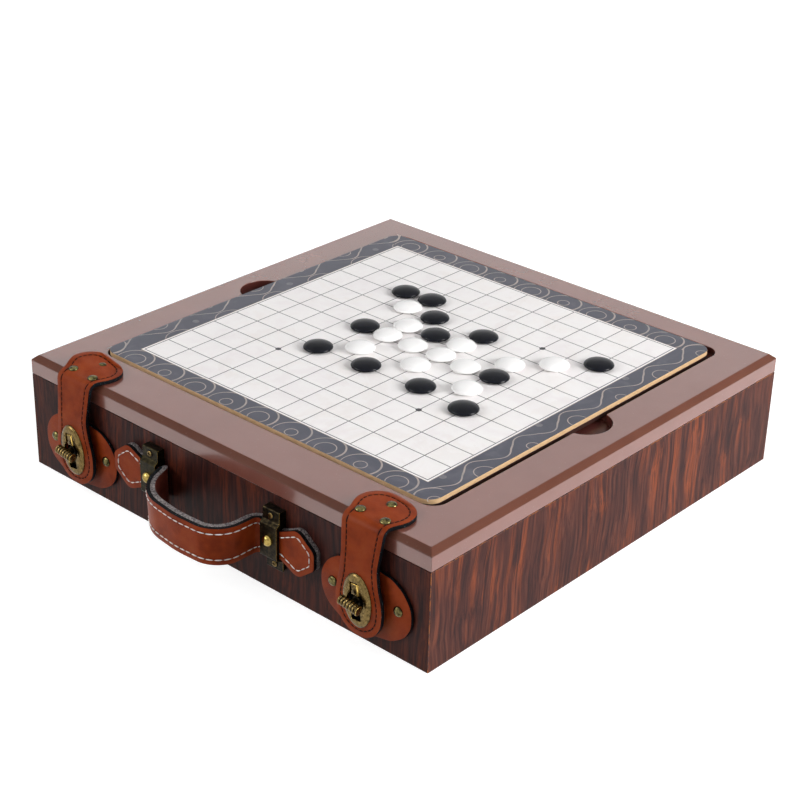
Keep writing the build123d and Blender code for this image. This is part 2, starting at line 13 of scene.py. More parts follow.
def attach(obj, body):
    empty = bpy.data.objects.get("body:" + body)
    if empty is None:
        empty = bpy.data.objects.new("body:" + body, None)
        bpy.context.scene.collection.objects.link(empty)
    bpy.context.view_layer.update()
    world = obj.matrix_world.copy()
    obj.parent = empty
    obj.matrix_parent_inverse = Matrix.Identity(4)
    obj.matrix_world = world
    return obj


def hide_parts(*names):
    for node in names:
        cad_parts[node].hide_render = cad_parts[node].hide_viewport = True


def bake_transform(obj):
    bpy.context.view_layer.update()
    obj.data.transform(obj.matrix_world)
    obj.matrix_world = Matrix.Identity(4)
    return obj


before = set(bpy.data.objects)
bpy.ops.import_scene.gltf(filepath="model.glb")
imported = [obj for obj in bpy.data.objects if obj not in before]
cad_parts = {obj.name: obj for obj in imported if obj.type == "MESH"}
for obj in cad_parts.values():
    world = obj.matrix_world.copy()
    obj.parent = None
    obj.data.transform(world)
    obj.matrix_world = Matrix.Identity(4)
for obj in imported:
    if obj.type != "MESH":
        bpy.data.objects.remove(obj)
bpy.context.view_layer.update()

LOG = logging.getLogger("storage_box")
MM = 0.001
ALONG = 0.9  # least share of a direction that counts as along an axis
SAME_SPOT = 1e-6  # vertices closer than this, in metres, are one
FLAT = math.radians(2)  # edges that turn less than this melt into their faces
CHANNEL_TUBE = 0.62  # radius of the tube that presses a channel, as a share of the channel's width
CHANNEL_LIFT = 0.36  # height of that tube's middle over the sheet, as the same kind of share
HIDE_ARRIS = 0.5  # width of the rounding on cut leather, in millimetres
BELLY = 0.32  # share of a stitch's length, each way from its middle, that is swollen
SWELL = (1, 1.15, 1.1)  # how much it is swollen along, across and up
QUARTER_ARC = 0.5523  # handle of a Bezier quarter circle, as a share of its radius
Colour = tuple[float, float, float, float]
Limits = tuple[float, float, float, float]
Point = tuple[float, float, float]
Corner = tuple[float, float]
Piece = bpy.types.Object
Material = bpy.types.Material
Socket = bpy.types.NodeSocket
Test = Callable[[Vector, Vector], bool]


class Element(Enum):
    """What an edit-mode selection picks."""

    VERTEX = "VERT"
    EDGE = "EDGE"
    FACE = "FACE"


class Side(Enum):
    """Left or right half of the box, seen from the front."""

    LEFT = -1
    RIGHT = 1

    @property
    def word(self) -> str:
        """The side's name as the nodes spell it."""
        return self.name.lower()


def paint(red: float, green: float, blue: float) -> Colour:
    """A colour given as 0 to 255 display values, turned linear for a shader socket.

    Args:
        red: Red as displayed.
        green: Green as displayed.
        blue: Blue as displayed.

    Returns:
        Linear red, green, blue and an alpha of 1.
    """
    linear = []
    for value in (red, green, blue):
        share = value / 255
        linear.append(share / 12.92 if share <= 0.04045 else ((share + 0.055) / 1.055) ** 2.4)
    return (linear[0], linear[1], linear[2], 1.0)


# Bench work: small steps of modelling that every piece uses.


def only(piece: Piece) -> Piece:
    """Leaves object mode's selection holding this piece alone, as the active object."""
    if bpy.context.mode != "OBJECT":
        bpy.ops.object.mode_set(mode="OBJECT")
    bpy.ops.object.select_all(action="DESELECT")
    piece.select_set(True)
    bpy.context.view_layer.objects.active = piece
    return piece


def fixed(piece: Piece) -> Piece:
    """Moves the object's place, turn and scale into its mesh."""
    only(piece)
    bpy.ops.object.transform_apply(location=True, rotation=True, scale=True)
    return piece


def primitive(name: str, add: Callable[..., set[str]], **settings: object) -> Piece:
    """Adds a mesh primitive under a name, its place and turn not yet in its mesh."""
    bpy.ops.object.select_all(action="DESELECT")
    add(**settings)
    bpy.context.object.name = name
    return bpy.context.object


def block(name: str, low: Sequence[float], high: Sequence[float]) -> Piece:
    """Cube primitive between two corners in millimetres."""
    centre = [(a + b) / 2 * MM for a, b in zip(low, high)]
    size = [(b - a) * MM for a, b in zip(low, high)]
    return fixed(primitive(name, bpy.ops.mesh.primitive_cube_add, size=1, location=centre, scale=size))


def rod(
    name: str, radius: float, start: Sequence[float], end: Sequence[float], sides: int = 32
) -> Piece:
    """Cylinder primitive between two points, all in millimetres.

    Args:
        name: Name of the new object.
        radius: Radius of the rod.
        start: Centre of its first end.
        end: Centre of its other end.
        sides: Number of flats round it.

    Returns:
        The rod, its place in its mesh.
    """
    first, last = Vector(start) * MM, Vector(end) * MM
    run = last - first
    return fixed(primitive(
        name, bpy.ops.mesh.primitive_cylinder_add, vertices=sides, radius=radius * MM, depth=run.length,
        location=(first + last) / 2, rotation=run.to_track_quat("Z", "Y").to_euler(),
    ))


def pick(piece: Piece, kind: Element, test: Test) -> None:
    """Enters edit mode with the parts of a mesh that pass a test selected.

    Args:
        piece: The piece to select on.
        kind: Vertices, edges or faces.
        test: Takes a part's middle in millimetres and its direction, which is a face's or vertex's
            normal or an edge's run.
    """
    only(piece)
    bpy.ops.object.mode_set(mode="EDIT")
    bpy.ops.mesh.select_mode(type=kind.value)
    bpy.ops.mesh.select_all(action="DESELECT")
    bpy.ops.object.mode_set(mode="OBJECT")
    mesh = piece.data
    if kind is Element.FACE:
        for face in mesh.polygons:
            face.select = test(face.center / MM, face.normal)
    elif kind is Element.EDGE:
        for edge in mesh.edges:
            first, last = (mesh.vertices[i].co for i in edge.vertices)
            edge.select = test((first + last) / 2 / MM, (last - first).normalized())
    else:
        for vertex in mesh.vertices:
            vertex.select = test(vertex.co / MM, vertex.normal)
    bpy.ops.object.mode_set(mode="EDIT")


def done() -> None:
    """Leaves edit mode."""
    bpy.ops.object.mode_set(mode="OBJECT")


def everything(piece: Piece, kind: Element = Element.FACE) -> None:
    """Enters edit mode with all of a piece selected."""
    pick(piece, kind, lambda middle, way: True)


def pulled(x: float, y: float, z: float) -> None:
    """Extrudes what is selected in edit mode by a step in millimetres."""
    bpy.ops.mesh.extrude_region_move(TRANSFORM_OT_translate={"value": (x * MM, y * MM, z * MM)})


def stretched(x: float, y: float, z: float, about: Sequence[float] = (0, 0, 0)) -> None:
    """Scales what is selected in edit mode about a point in millimetres."""
    bpy.ops.transform.resize(value=(x, y, z), center_override=[c * MM for c in about])


def bevelled(width: float, steps: int, slot: int = -1) -> None:
    """Bevels the edges selected in edit mode by a width in millimetres."""
    bpy.ops.mesh.bevel(offset=width * MM, segments=steps, affect="EDGES", material=slot)


def outward(inside: bool = False) -> None:
    """Selects all in edit mode and turns the faces outwards, or inwards if asked."""
    bpy.ops.mesh.select_all(action="SELECT")
    bpy.ops.mesh.normals_make_consistent(inside=inside)


def assigned(piece: Piece, slots: int, slot: int, test: Test) -> None:
    """Gives a piece empty material slots and puts the faces that pass a test in one of them."""
    for _ in range(slots):
        piece.data.materials.append(None)
    for face in piece.data.polygons:
        if test(face.center / MM, face.normal):
            face.material_index = slot


def modified(piece: Piece, kind: str, **settings: object) -> Piece:
    """Adds a modifier, sets it and applies it.

    Args:
        piece: The piece to change.
        kind: Blender's name for the modifier.
        **settings: The modifier's own settings.

    Returns:
        The same piece.
    """
    only(piece)
    modifier = piece.modifiers.new(kind.title(), kind)
    for key, value in settings.items():
        setattr(modifier, key, value)
    bpy.ops.object.modifier_apply(modifier=modifier.name)
    return piece


def softened(
    piece: Piece, width: float, steps: int = 2, angle: float = 30.0, slot: int = -1
) -> Piece:
    """Rounds every arris sharper than an angle.

    Args:
        piece: The piece to round.
        width: Width of the rounding in millimetres.
        steps: Facets across it.
        angle: Least turn in degrees that counts as an arris.
        slot: Material slot of the rounding, or -1 for its neighbours' own.

    Returns:
        The same piece.
    """
    return modified(
        piece, "BEVEL", width=width * MM, segments=steps, limit_method="ANGLE",
        angle_limit=math.radians(angle), material=slot, use_clamp_overlap=True,
    )


def smooth(piece: Piece, angle: float = 35.0) -> Piece:
    """Smooth shading that keeps arrises sharper than the angle."""
    only(piece)
    bpy.ops.object.shade_smooth_by_angle(angle=math.radians(angle))
    return piece


def crisp(piece: Piece, angle: float) -> Piece:
    """Smooth shading in which the large flat faces stay flat up to their rounded arrises."""
    smooth(piece, angle)
    return modified(piece, "WEIGHTED_NORMAL", keep_sharp=True, weight=80)


def cut(piece: Piece, *tools: Piece, solver: str = "EXACT") -> Piece:
    """Takes each tool's volume out of the piece and puts the tool away."""
    for tool in tools:
        modified(piece, "BOOLEAN", operation="DIFFERENCE", solver=solver, object=tool)
        gone(tool)
    return piece


def filled(piece: Piece, *materials: Material | None, use: int | None = None) -> Piece:
    """Fills a piece's slots in order and puts all its faces in one of them, if asked."""
    for index, material in enumerate(materials):
        if index < len(piece.data.materials):
            piece.data.materials[index] = material
        else:
            piece.data.materials.append(material)
    if use is not None:
        for face in piece.data.polygons:
            face.material_index = use
    return piece


def joined(name: str, pieces: Sequence[Piece]) -> Piece:
    """Makes one object of several."""
    only(pieces[0])
    for piece in pieces[1:]:
        piece.select_set(True)
    if len(pieces) > 1:
        bpy.ops.object.join()
    pieces[0].name = name
    return pieces[0]


def gone(piece: Piece) -> None:
    """Puts away a piece or line that is used up."""
    bpy.data.objects.remove(piece, do_unlink=True)


def copied(piece: Piece, name: str, move: Sequence[float] = (0, 0, 0)) -> Piece:
    """A copy with its own mesh, moved by a step in millimetres."""
    only(piece)
    bpy.ops.object.duplicate(linked=False)
    twin = bpy.context.object
    twin.name = name
    twin.location = Vector(move) * MM
    return fixed(twin)


def placed(piece: Piece, matrix: Matrix) -> Piece:
    """Turns and moves a piece, the result in its mesh."""
    piece.matrix_world = matrix @ piece.matrix_world
    return fixed(piece)


def upright(x: float, y: float, z: float) -> Matrix:
    """Stands flat work up against the front: its top faces -Y and its Y runs up. Millimetres."""
    return Matrix.Translation(Vector((x, y, z)) * MM) @ Matrix.Rotation(math.radians(90), 4, "X")


def rounded_points(
    corners: Sequence[Point], radii: Sequence[float], closed: bool
) -> list[tuple[Vector, Vector, Vector]]:
    """Bezier points of a line that goes round its corners in arcs.

    Args:
        corners: Corner points in millimetres.
        radii: Radius at each corner. 0 keeps it sharp.
        closed: Whether the line returns to its first corner.

    Returns:
        For each Bezier point its place and its two handles, in millimetres.
    """
    points = []
    count = len(corners)
    for n, (corner, radius) in enumerate(zip(corners, radii)):
        here = Vector(corner)
        if radius <= 0 or (not closed and n in (0, count - 1)):
            points.append((here, here, here))
            continue
        back = (Vector(corners[n - 1]) - here).normalized()
        ahead = (Vector(corners[(n + 1) % count]) - here).normalized()
        turn = math.pi - back.angle(ahead)
        reach = radius * math.tan(turn / 2)
        handle = reach - radius * 4 / 3 * math.tan(turn / 4)
        points.append((here + back * reach, here + back * reach, here + back * handle))
        points.append((here + ahead * reach, here + ahead * handle, here + ahead * reach))
    return points


def traced(
    name: str, corners: Sequence[Sequence[float]], radii: Sequence[float] | float = 0.0,
    closed: bool = False, filled: bool = False, steps: int = 8,
) -> Piece:
    """Curve through corners with a radius at each.

    Args:
        name: Name of the curve object.
        corners: Corner points in millimetres, flat or in space.
        radii: One radius for all corners or one for each.
        closed: Whether it is a loop.
        filled: Whether the loop is a flat filled face.
        steps: Straight steps between Bezier points.

    Returns:
        The curve object at the origin.
    """
    spots = [(p[0], p[1], p[2] if len(p) > 2 else 0.0) for p in corners]
    rounds = [radii] * len(spots) if isinstance(radii, (int, float)) else list(radii)
    curve = bpy.data.curves.new(name, "CURVE")
    curve.dimensions = "2D" if filled else "3D"
    curve.fill_mode = "BOTH" if filled else "FULL"
    curve.twist_mode = "MINIMUM"
    curve.resolution_u = steps
    spline = curve.splines.new("BEZIER")
    points = rounded_points(spots, rounds, closed)
    spline.bezier_points.add(len(points) - 1)
    for point, (place, before, after) in zip(spline.bezier_points, points):
        point.co = place * MM
        point.handle_left_type = point.handle_right_type = "FREE"
        point.handle_left = before * MM
        point.handle_right = after * MM
    spline.use_cyclic_u = closed
    line = bpy.data.objects.new(name, curve)
    bpy.context.scene.collection.objects.link(line)
    return line


def flowing(
    name: str, anchors: Sequence[Sequence[float]], closed: bool = True, filled: bool = False,
    steps: int = 8,
) -> Piece:
    """Curve that flows smoothly through its anchors, with the same settings as traced."""
    line = traced(name, anchors, 0.0, closed, filled, steps)
    for point in line.data.splines[0].bezier_points:
        point.handle_left_type = point.handle_right_type = "AUTO"
    return line


def run_of(line: Piece) -> float:
    """Length of a line in millimetres."""
    return line.data.splines[0].calc_length() / MM


def meshed(line: Piece) -> Piece:
    """Turns a curve into a mesh with its doubles merged."""
    only(line)
    bpy.ops.object.convert(target="MESH")
    piece = bpy.context.object
    bpy.ops.object.mode_set(mode="EDIT")
    bpy.ops.mesh.select_all(action="SELECT")
    bpy.ops.mesh.remove_doubles(threshold=SAME_SPOT)
    done()
    return piece


def inset_corners(corners: Sequence[Corner], distance: float) -> list[Corner]:
    """Moves a closed, anticlockwise run of corners inwards by a distance."""
    result = []
    count = len(corners)
    for n in range(count):
        here = Vector(corners[n])
        before = (here - Vector(corners[n - 1])).normalized()
        after = (Vector(corners[(n + 1) % count]) - here).normalized()
        normal = Vector((-before.y, before.x)) + Vector((-after.y, after.x))
        normal.normalize()
        lean = max(normal.dot(Vector((-before.y, before.x))), 0.4)
        spot = here + normal * (distance / lean)
        result.append((spot.x, spot.y))
    return result


def sliced(piece: Piece, stations: Iterable[float]) -> None:
    """Cuts a flat sheet across its X at stations in millimetres, so that it can bend."""
    only(piece)
    bpy.ops.object.mode_set(mode="EDIT")
    bpy.ops.mesh.select_mode(type="FACE")
    for station in stations:
        bpy.ops.mesh.select_all(action="SELECT")
        bpy.ops.mesh.bisect(plane_co=(station * MM, 0, 0), plane_no=(1, 0, 0))
    done()


def bent(piece: Piece, line: Piece) -> Piece:
    """Bends work that lies along X so that it follows a line."""
    return modified(piece, "CURVE", object=line, deform_axis="POS_X")


def flat_sheet(name: str, outline: Piece) -> Piece:
    """Makes one flat face of a filled outline, facing up."""
    sheet = meshed(outline)
    sheet.name = name
    everything(sheet)
    bpy.ops.mesh.dissolve_limited(angle_limit=FLAT)
    outward()
    done()
    if sheet.data.polygons[0].normal.z < 0:
        bpy.ops.object.mode_set(mode="EDIT")
        bpy.ops.mesh.flip_normals()
        done()
    return sheet


def hide_sheet(name: str, outline: Piece, thickness: float, stations: Iterable[float] = ()) -> Piece:
    """Flat cut leather with a black edge and back and a rounded arris.

    Args:
        name: Name of the piece.
        outline: Filled curve of its outline. It is used up.
        thickness: Thickness in millimetres. The grain side is on top.
        stations: Places in X at which the sheet is cut across so that it can bend.

    Returns:
        The sheet with material slot 0 on its grain side and slot 1 on its edge and back.
    """
    sheet = flat_sheet(name, outline)
    sheet.location.z = thickness * MM
    fixed(sheet)
    sliced(sheet, stations)
    thickened(sheet, thickness, 1)
    return softened(sheet, HIDE_ARRIS, 2, 55)


def thickened(sheet: Piece, thickness: float, rim: int) -> None:
    """Thickens a flat sheet downwards, its back in slot 1 and its edge in slot 0 or 1."""
    for _ in range(2):
        sheet.data.materials.append(None)
    modified(
        sheet, "SOLIDIFY", thickness=thickness * MM, offset=-1, use_even_offset=False,
        material_offset=1, material_offset_rim=rim,
    )


def grooved(sheet: Piece, seam: Piece, level: float, width: float) -> Piece:
    """Presses a shallow channel along a seam into the top of a sheet.

    Args:
        sheet: The flat sheet.
        seam: Curve of the seam, which stays.
        level: Height of the sheet's top in millimetres.
        width: Width of the channel.

    Returns:
        The same sheet.
    """
    only(seam)
    bpy.ops.object.duplicate(linked=False)
    tube = bpy.context.object
    tube.data.resolution_u = 5
    tube.data.bevel_depth = width * CHANNEL_TUBE * MM
    tube.data.bevel_resolution = 2
    tube.location.z = (level + width * CHANNEL_LIFT) * MM
    tube = fixed(meshed(tube))
    return cut(sheet, tube, solver="MANIFOLD")


def sewn(
    name: str, seam: Piece, length: float, gap: float, width: float, lift: float
) -> Piece:
    """A row of stitches along a flat closed seam, modelled once and repeated.

    Args:
        name: Name of the row.
        seam: Curve of the seam. It is used up.
        length: Length of one stitch in millimetres.
        gap: Least gap between stitches.
        width: Thickness of the thread.
        lift: Height of the stitch's middle above the seam.

    Returns:
        The row of stitches as one mesh.
    """
    run = run_of(seam)
    count = int(run / (length + gap))
    pitch = run / count
    stitch = primitive(
        name, bpy.ops.mesh.primitive_uv_sphere_add, segments=8, ring_count=8, radius=0.5 * MM,
        rotation=(0, math.pi / 2, 0),
    )
    stitch.scale = (length, width, width)
    stitch.rotation_euler = (0, 0, 0)
    stitch.location = (pitch / 2 * MM, 0, lift * MM)
    fixed(stitch)
    pick(stitch, Element.VERTEX, lambda middle, normal: abs(middle.x - pitch / 2) < length * BELLY)
    stretched(*SWELL, (pitch / 2, 0, lift))
    done()
    modified(
        stitch, "ARRAY", fit_type="FIXED_COUNT", count=count, use_relative_offset=False,
        use_constant_offset=True, constant_offset_displace=(pitch * MM, 0, 0),
    )
    bent(stitch, seam)
    gone(seam)
    return smooth(stitch, 60)


# Finishes.


class Nodes:
    """A node tree, added to in plain steps."""

    def __init__(self, tree: bpy.types.NodeTree) -> None:
        """Takes the tree to add to."""
        self.tree = tree

    def node(self, kind: str, out: str | int, feeds: dict[str | int, object], **settings: object) -> Socket:
        """Adds a node.

        Args:
            kind: Blender's name for it, after ShaderNode.
            out: The output to return.
            feeds: For each input the socket that feeds it, or its value.
            **settings: The node's own settings.

        Returns:
            The chosen output.
        """
        made = self.tree.nodes.new("ShaderNode" + kind)
        for key, value in settings.items():
            setattr(made, key, value)
        for key, value in feeds.items():
            if isinstance(value, Socket):
                self.link(value, made.inputs[key])
            else:
                made.inputs[key].default_value = value
        return made.outputs[out]

    def link(self, source: Socket, target: Socket) -> None:
        """Joins two sockets."""
        self.tree.links.new(source, target)


class Shader(Nodes):
    """A surface material's nodes. Scales are in features per metre."""

    def __init__(self, name: str, **sockets: object) -> None:
        """Starts a material.

        Args:
            name: Name of the material.
            **sockets: Values of the surface shader's sockets, with _ for a space.
        """
        self.material = bpy.data.materials.new(name)
        self.material.use_nodes = True
        super().__init__(self.material.node_tree)
        self.surface = self.tree.nodes["Principled BSDF"]
        for key, value in sockets.items():
            self.surface.inputs[key.replace("_", " ")].default_value = value

    def spots(self) -> Socket:
        """Object coordinates."""
        return self.node("TexCoord", "Object", {})

    def place(self, scale: Point, source: Socket | None = None) -> Socket:
        """Object coordinates, or a source of them, scaled."""
        return self.node("Mapping", "Vector", {"Vector": source or self.spots(), "Scale": scale})

    def swayed(self, scale: Point, sway: float) -> Socket:
        """Object coordinates pushed sideways, up to a sway in millimetres, by slow noise."""
        slow = self.node("TexNoise", "Color", {"Vector": self.place(scale), "Scale": 1.0})
        way = (2 * sway * MM, 2 * sway * MM, 0)
        push = self.node("VectorMath", "Vector", {0: slow, 1: way}, operation="MULTIPLY")
        return self.node("VectorMath", "Vector", {0: self.spots(), 1: push}, operation="ADD")

    def noise(
        self, scale: Point, detail: float = 3.0, roughness: float = 0.55, distortion: float = 0.0,
        source: Socket | None = None,
    ) -> Socket:
        """Noise with its own scale along each axis."""
        return self.node("TexNoise", "Fac", {
            "Vector": self.place(scale, source), "Scale": 1.0, "Detail": detail, "Roughness": roughness,
            "Distortion": distortion,
        })

    def cells(self, scale: Point, feature: str) -> Socket:
        """Distance field of a cell pattern."""
        feeds = {"Vector": self.place(scale), "Scale": 1.0}
        return self.node("TexVoronoi", "Distance", feeds, feature=feature)

    def ramp(self, value: Socket, *stops: tuple[float, Colour]) -> Socket:
        """Colours laid along a value."""
        colour = self.node("ValToRGB", "Color", {"Fac": value})
        elements = colour.node.color_ramp.elements
        while len(elements) < len(stops):
            elements.new(0.5)
        for element, (position, tone) in zip(elements, stops):
            element.position = position
            element.color = tone
        return colour

    def span(self, value: Socket, low: float, high: float) -> Socket:
        """A value stretched so that low to high becomes 0 to 1, and held within it."""
        feeds = {"Value": value, "From Min": low, "From Max": high}
        return self.node("MapRange", "Result", feeds, clamp=True)

    def scaled(self, value: Socket, low: float, high: float) -> Socket:
        """A 0 to 1 value laid between two numbers."""
        return self.node("MapRange", "Result", {"Value": value, "To Min": low, "To Max": high})

    def mixed(self, share: Socket, first: Socket | Colour, second: Socket | Colour) -> Socket:
        """Two colours mixed by a share."""
        return self.node("Mix", 2, {0: share, 6: first, 7: second}, data_type="RGBA")

    def product(self, first: Socket, second: Socket) -> Socket:
        """Two values multiplied."""
        return self.node("Math", 0, {0: first, 1: second}, operation="MULTIPLY")

    def colour(self, source: Socket) -> None:
        """Sends a colour to the surface."""
        self.link(source, self.surface.inputs["Base Color"])

    def roughness(self, source: Socket) -> None:
        """Sends a roughness to the surface."""
        self.link(source, self.surface.inputs["Roughness"])

    def relief(self, height: Socket, depth: float, strength: float) -> None:
        """Adds a bump of a depth in millimetres on top of those already there."""
        feeds = {"Height": height, "Distance": depth * MM, "Strength": strength}
        target = self.surface.inputs["Normal"]
        if target.is_linked:
            feeds["Normal"] = target.links[0].from_socket
        self.link(self.node("Bump", "Normal", feeds), target)


@dataclass(frozen=True)
class LidPaint:
    """Semi-gloss brown paint under a clear coat."""

    name: str = "lid_paint"
    base: Colour = paint(118, 66, 54)
    pale: Colour = paint(128, 76, 64)
    coat: float = 0.75
    shine: float = 0.7

    def made(self) -> Material:
        """Builds the material."""
        shader = Shader(
            self.name, Coat_Weight=self.coat, Coat_Roughness=0.1, Specular_IOR_Level=self.shine
        )
        cloud = shader.noise((18, 18, 18), 4)
        speck = shader.span(shader.noise((900, 900, 900), 2), 0.68, 0.78)
        body = shader.ramp(cloud, (0.3, self.base), (0.7, self.pale))
        shader.colour(shader.mixed(shader.scaled(speck, 0, 0.25), body, paint(170, 130, 118)))
        shader.roughness(shader.scaled(shader.noise((60, 60, 60), 3), 0.2, 0.26))
        shader.relief(shader.noise((420, 420, 420), 2), 0.02, 0.35)
        return shader.material


@dataclass(frozen=True)
class RosewoodWrap:
    """Printed wrap of upright dark rosewood grain."""

    name: str
    dark: Colour = paint(42, 22, 22)
    middle: Colour = paint(74, 39, 33)
    light: Colour = paint(100, 57, 45)
    streak: Colour = paint(172, 86, 46)
    vein: Colour = paint(24, 15, 19)
    streak_share: float = 0.65
    sway_grain: Point = (22, 22, 15)
    sway: float = 7.0
    figure_grain: Point = (260, 260, 9)
    band_grain: Point = (420, 420, 16)
    fine_grain: Point = (1050, 1050, 30)
    pore_grain: Point = (1900, 1900, 110)
    zone_grain: Point = (36, 36, 9)

    def made(self) -> Material:
        """Builds the material."""
        shader = Shader(self.name, Specular_IOR_Level=0.1)
        wavy = shader.swayed(self.sway_grain, self.sway)
        figure = shader.noise(self.figure_grain, 4, 0.6, 0.0, wavy)
        bands = shader.noise(self.band_grain, 5, 0.66, 0.0, wavy)
        fine = shader.noise(self.fine_grain, 4, 0.66, 0.0, wavy)
        pores = shader.noise(self.pore_grain, 3, 0.6, 0.0, wavy)
        body = shader.ramp(bands, (0.36, self.dark), (0.52, self.middle), (0.68, self.light))
        zones = shader.span(shader.noise(self.zone_grain, 3, 0.5, 0.0, wavy), 0.4, 0.58)
        glow = shader.product(shader.span(figure, 0.47, 0.6), shader.span(fine, 0.34, 0.6))
        glow = shader.product(glow, zones)
        body = shader.mixed(shader.scaled(glow, 0, self.streak_share), body, self.streak)
        body = shader.mixed(shader.scaled(shader.span(figure, 0.46, 0.34), 0, 0.45), body, self.dark)
        body = shader.mixed(shader.scaled(shader.span(fine, 0.56, 0.68), 0, 0.7), body, self.vein)
        body = shader.mixed(shader.scaled(shader.span(pores, 0.6, 0.72), 0, 0.35), body, self.light)
        shader.colour(body)
        shader.roughness(shader.scaled(fine, 0.36, 0.5))
        shader.relief(fine, 0.03, 0.3)
        return shader.material


@dataclass(frozen=True)
class WornArris:
    """Wrap rubbed through to an orange-brown core along an arris."""

    name: str = "wrap_arris"
    core: Colour = paint(176, 104, 52)
    cover: Colour = paint(70, 40, 36)

    def made(self) -> Material:
        """Builds the material."""
        shader = Shader(self.name, Specular_IOR_Level=0.4)
        rub = shader.span(shader.noise((190, 190, 130), 4, 0.65), 0.46, 0.56)
        shader.colour(shader.mixed(rub, self.cover, self.core))
        shader.roughness(shader.scaled(rub, 0.4, 0.65))
        return shader.material


@dataclass(frozen=True)
class Leather:
    """Smooth tanned leather with a fine grain."""

    name: str
    base: Colour = paint(136, 53, 18)
    deep: Colour = paint(113, 41, 12)
    pale: Colour = paint(150, 66, 28)
    cloud_grain: Point = (70, 70, 70)
    mottle_grain: Point = (420, 420, 420)
    crease_grain: Point = (1500, 1500, 1500)

    def made(self) -> Material:
        """Builds the material."""
        shader = Shader(self.name, Specular_IOR_Level=0.08)
        cloud = shader.noise(self.cloud_grain, 4, 0.6)
        mottle = shader.noise(self.mottle_grain, 3, 0.6)
        body = shader.ramp(cloud, (0.3, self.deep), (0.5, self.base), (0.75, self.pale))
        body = shader.mixed(shader.scaled(shader.span(mottle, 0.55, 0.75), 0, 0.3), body, self.pale)
        creases = shader.cells(self.crease_grain, "DISTANCE_TO_EDGE")
        body = shader.mixed(shader.scaled(shader.span(creases, 0.1, 0.0), 0, 0.22), body, self.deep)
        shader.colour(body)
        shader.roughness(shader.scaled(mottle, 0.34, 0.46))
        shader.relief(shader.span(creases, 0.0, 0.14), 0.05, 0.35)
        shader.relief(cloud, 0.25, 0.25)
        return shader.material


@dataclass(frozen=True)
class EdgeInk:
    """Black-dyed leather edge and back, with pale specks here and there: partly fibres, partly painted
    highlights.
    """

    name: str = "leather_edge"
    ink: Colour = paint(9, 9, 12)
    # Colour of the pale specks: partly fibres, partly painted highlights.
    fibre: Colour = paint(120, 160, 172)

    def made(self) -> Material:
        """Builds the material."""
        shader = Shader(self.name, Specular_IOR_Level=0.08)
        fibres = shader.noise((1300, 1300, 1300), 3, 0.6)
        # Pale specks along the black edge: partly fibres, partly painted highlights.
        share = shader.scaled(shader.span(fibres, 0.64, 0.72), 0, 0.6)
        shader.colour(shader.mixed(share, self.ink, self.fibre))
        shader.roughness(shader.scaled(fibres, 0.4, 0.75))
        shader.relief(fibres, 0.12, 0.5)
        return shader.material


@dataclass(frozen=True)
class FibreCore:
    """Grey fibre board between the handle's leathers."""

    name: str = "fibre_core"
    pale: Colour = paint(142, 134, 132)
    dark: Colour = paint(46, 42, 48)

    def made(self) -> Material:
        """Builds the material."""
        shader = Shader(self.name, Specular_IOR_Level=0.25, Roughness=0.85)
        fibres = shader.noise((950, 950, 950), 4, 0.7)
        clumps = shader.noise((420, 420, 420), 3, 0.6)
        body = shader.ramp(fibres, (0.36, self.dark), (0.56, self.pale), (0.8, paint(205, 198, 196)))
        shader.colour(shader.mixed(shader.scaled(shader.span(clumps, 0.5, 0.7), 0, 0.45), body, self.dark))
        shader.relief(fibres, 0.3, 0.8)
        return shader.material


@dataclass(frozen=True)
class Thread:
    """Waxed thread with a slight twist."""

    name: str
    base: Colour
    shade: Colour

    def made(self) -> Material:
        """Builds the material."""
        shader = Shader(self.name, Specular_IOR_Level=0.1)
        twist = shader.noise((1900, 1900, 1900), 2)
        shader.colour(shader.ramp(twist, (0.35, self.shade), (0.6, self.base)))
        shader.roughness(shader.scaled(twist, 0.5, 0.7))
        shader.relief(twist, 0.08, 0.6)
        return shader.material


@dataclass(frozen=True)
class AntiqueBrass:
    """Brass mottled dark and bright by noise, with a fine grain."""

    name: str
    dark: Colour
    bright: Colour
    low: float = 0.35
    high: float = 0.65
    rough: tuple[float, float] = (0.28, 0.5)

    def made(self) -> Material:
        """Builds the material."""
        shader = Shader(self.name, Metallic=1.0, Specular_IOR_Level=0.5)
        patina = shader.noise((480, 480, 480), 5, 0.7)
        grain = shader.noise((1400, 1400, 1400), 3)
        body = shader.ramp(patina, (self.low, self.dark), (self.high, self.bright))
        shader.colour(shader.mixed(shader.scaled(shader.span(grain, 0.55, 0.75), 0, 0.3), body, self.dark))
        shader.roughness(shader.scaled(patina, self.rough[1], self.rough[0]))
        shader.relief(grain, 0.03, 0.35)
        return shader.material


@dataclass(frozen=True)
class Speckled:
    """A plain finish with tone and relief from noise: board, felt, print or stone."""

    name: str
    base: Colour
    other: Colour
    scale: Point = (300, 300, 300)
    rough: tuple[float, float] = (0.5, 0.7)
    depth: float = 0.05
    specular: float = 0.5

    def made(self) -> Material:
        """Builds the material."""
        shader = Shader(self.name, Specular_IOR_Level=self.specular)
        tone = shader.noise(self.scale, 4, 0.6)
        shader.colour(shader.ramp(tone, (0.35, self.base), (0.65, self.other)))
        shader.roughness(shader.scaled(tone, *self.rough))
        shader.relief(tone, self.depth, 0.4)
        return shader.material


@dataclass(frozen=True)
class SlateFace:
    """Printed slate with soft clouds and pale veins."""

    name: str = "slate_face"

    def made(self) -> Material:
        """Builds the material."""
        shader = Shader(self.name, Specular_IOR_Level=0.4, Coat_Weight=0.2, Coat_Roughness=0.2)
        cloud = shader.noise((60, 60, 60), 5, 0.6, 0.6)
        body = shader.ramp(
            cloud, (0.3, paint(48, 50, 64)), (0.55, paint(60, 61, 75)), (0.8, paint(88, 88, 99))
        )
        shader.colour(body)
        shader.roughness(shader.scaled(cloud, 0.4, 0.5))
        shader.relief(shader.noise((900, 900, 900), 2), 0.01, 0.3)
        return shader.material


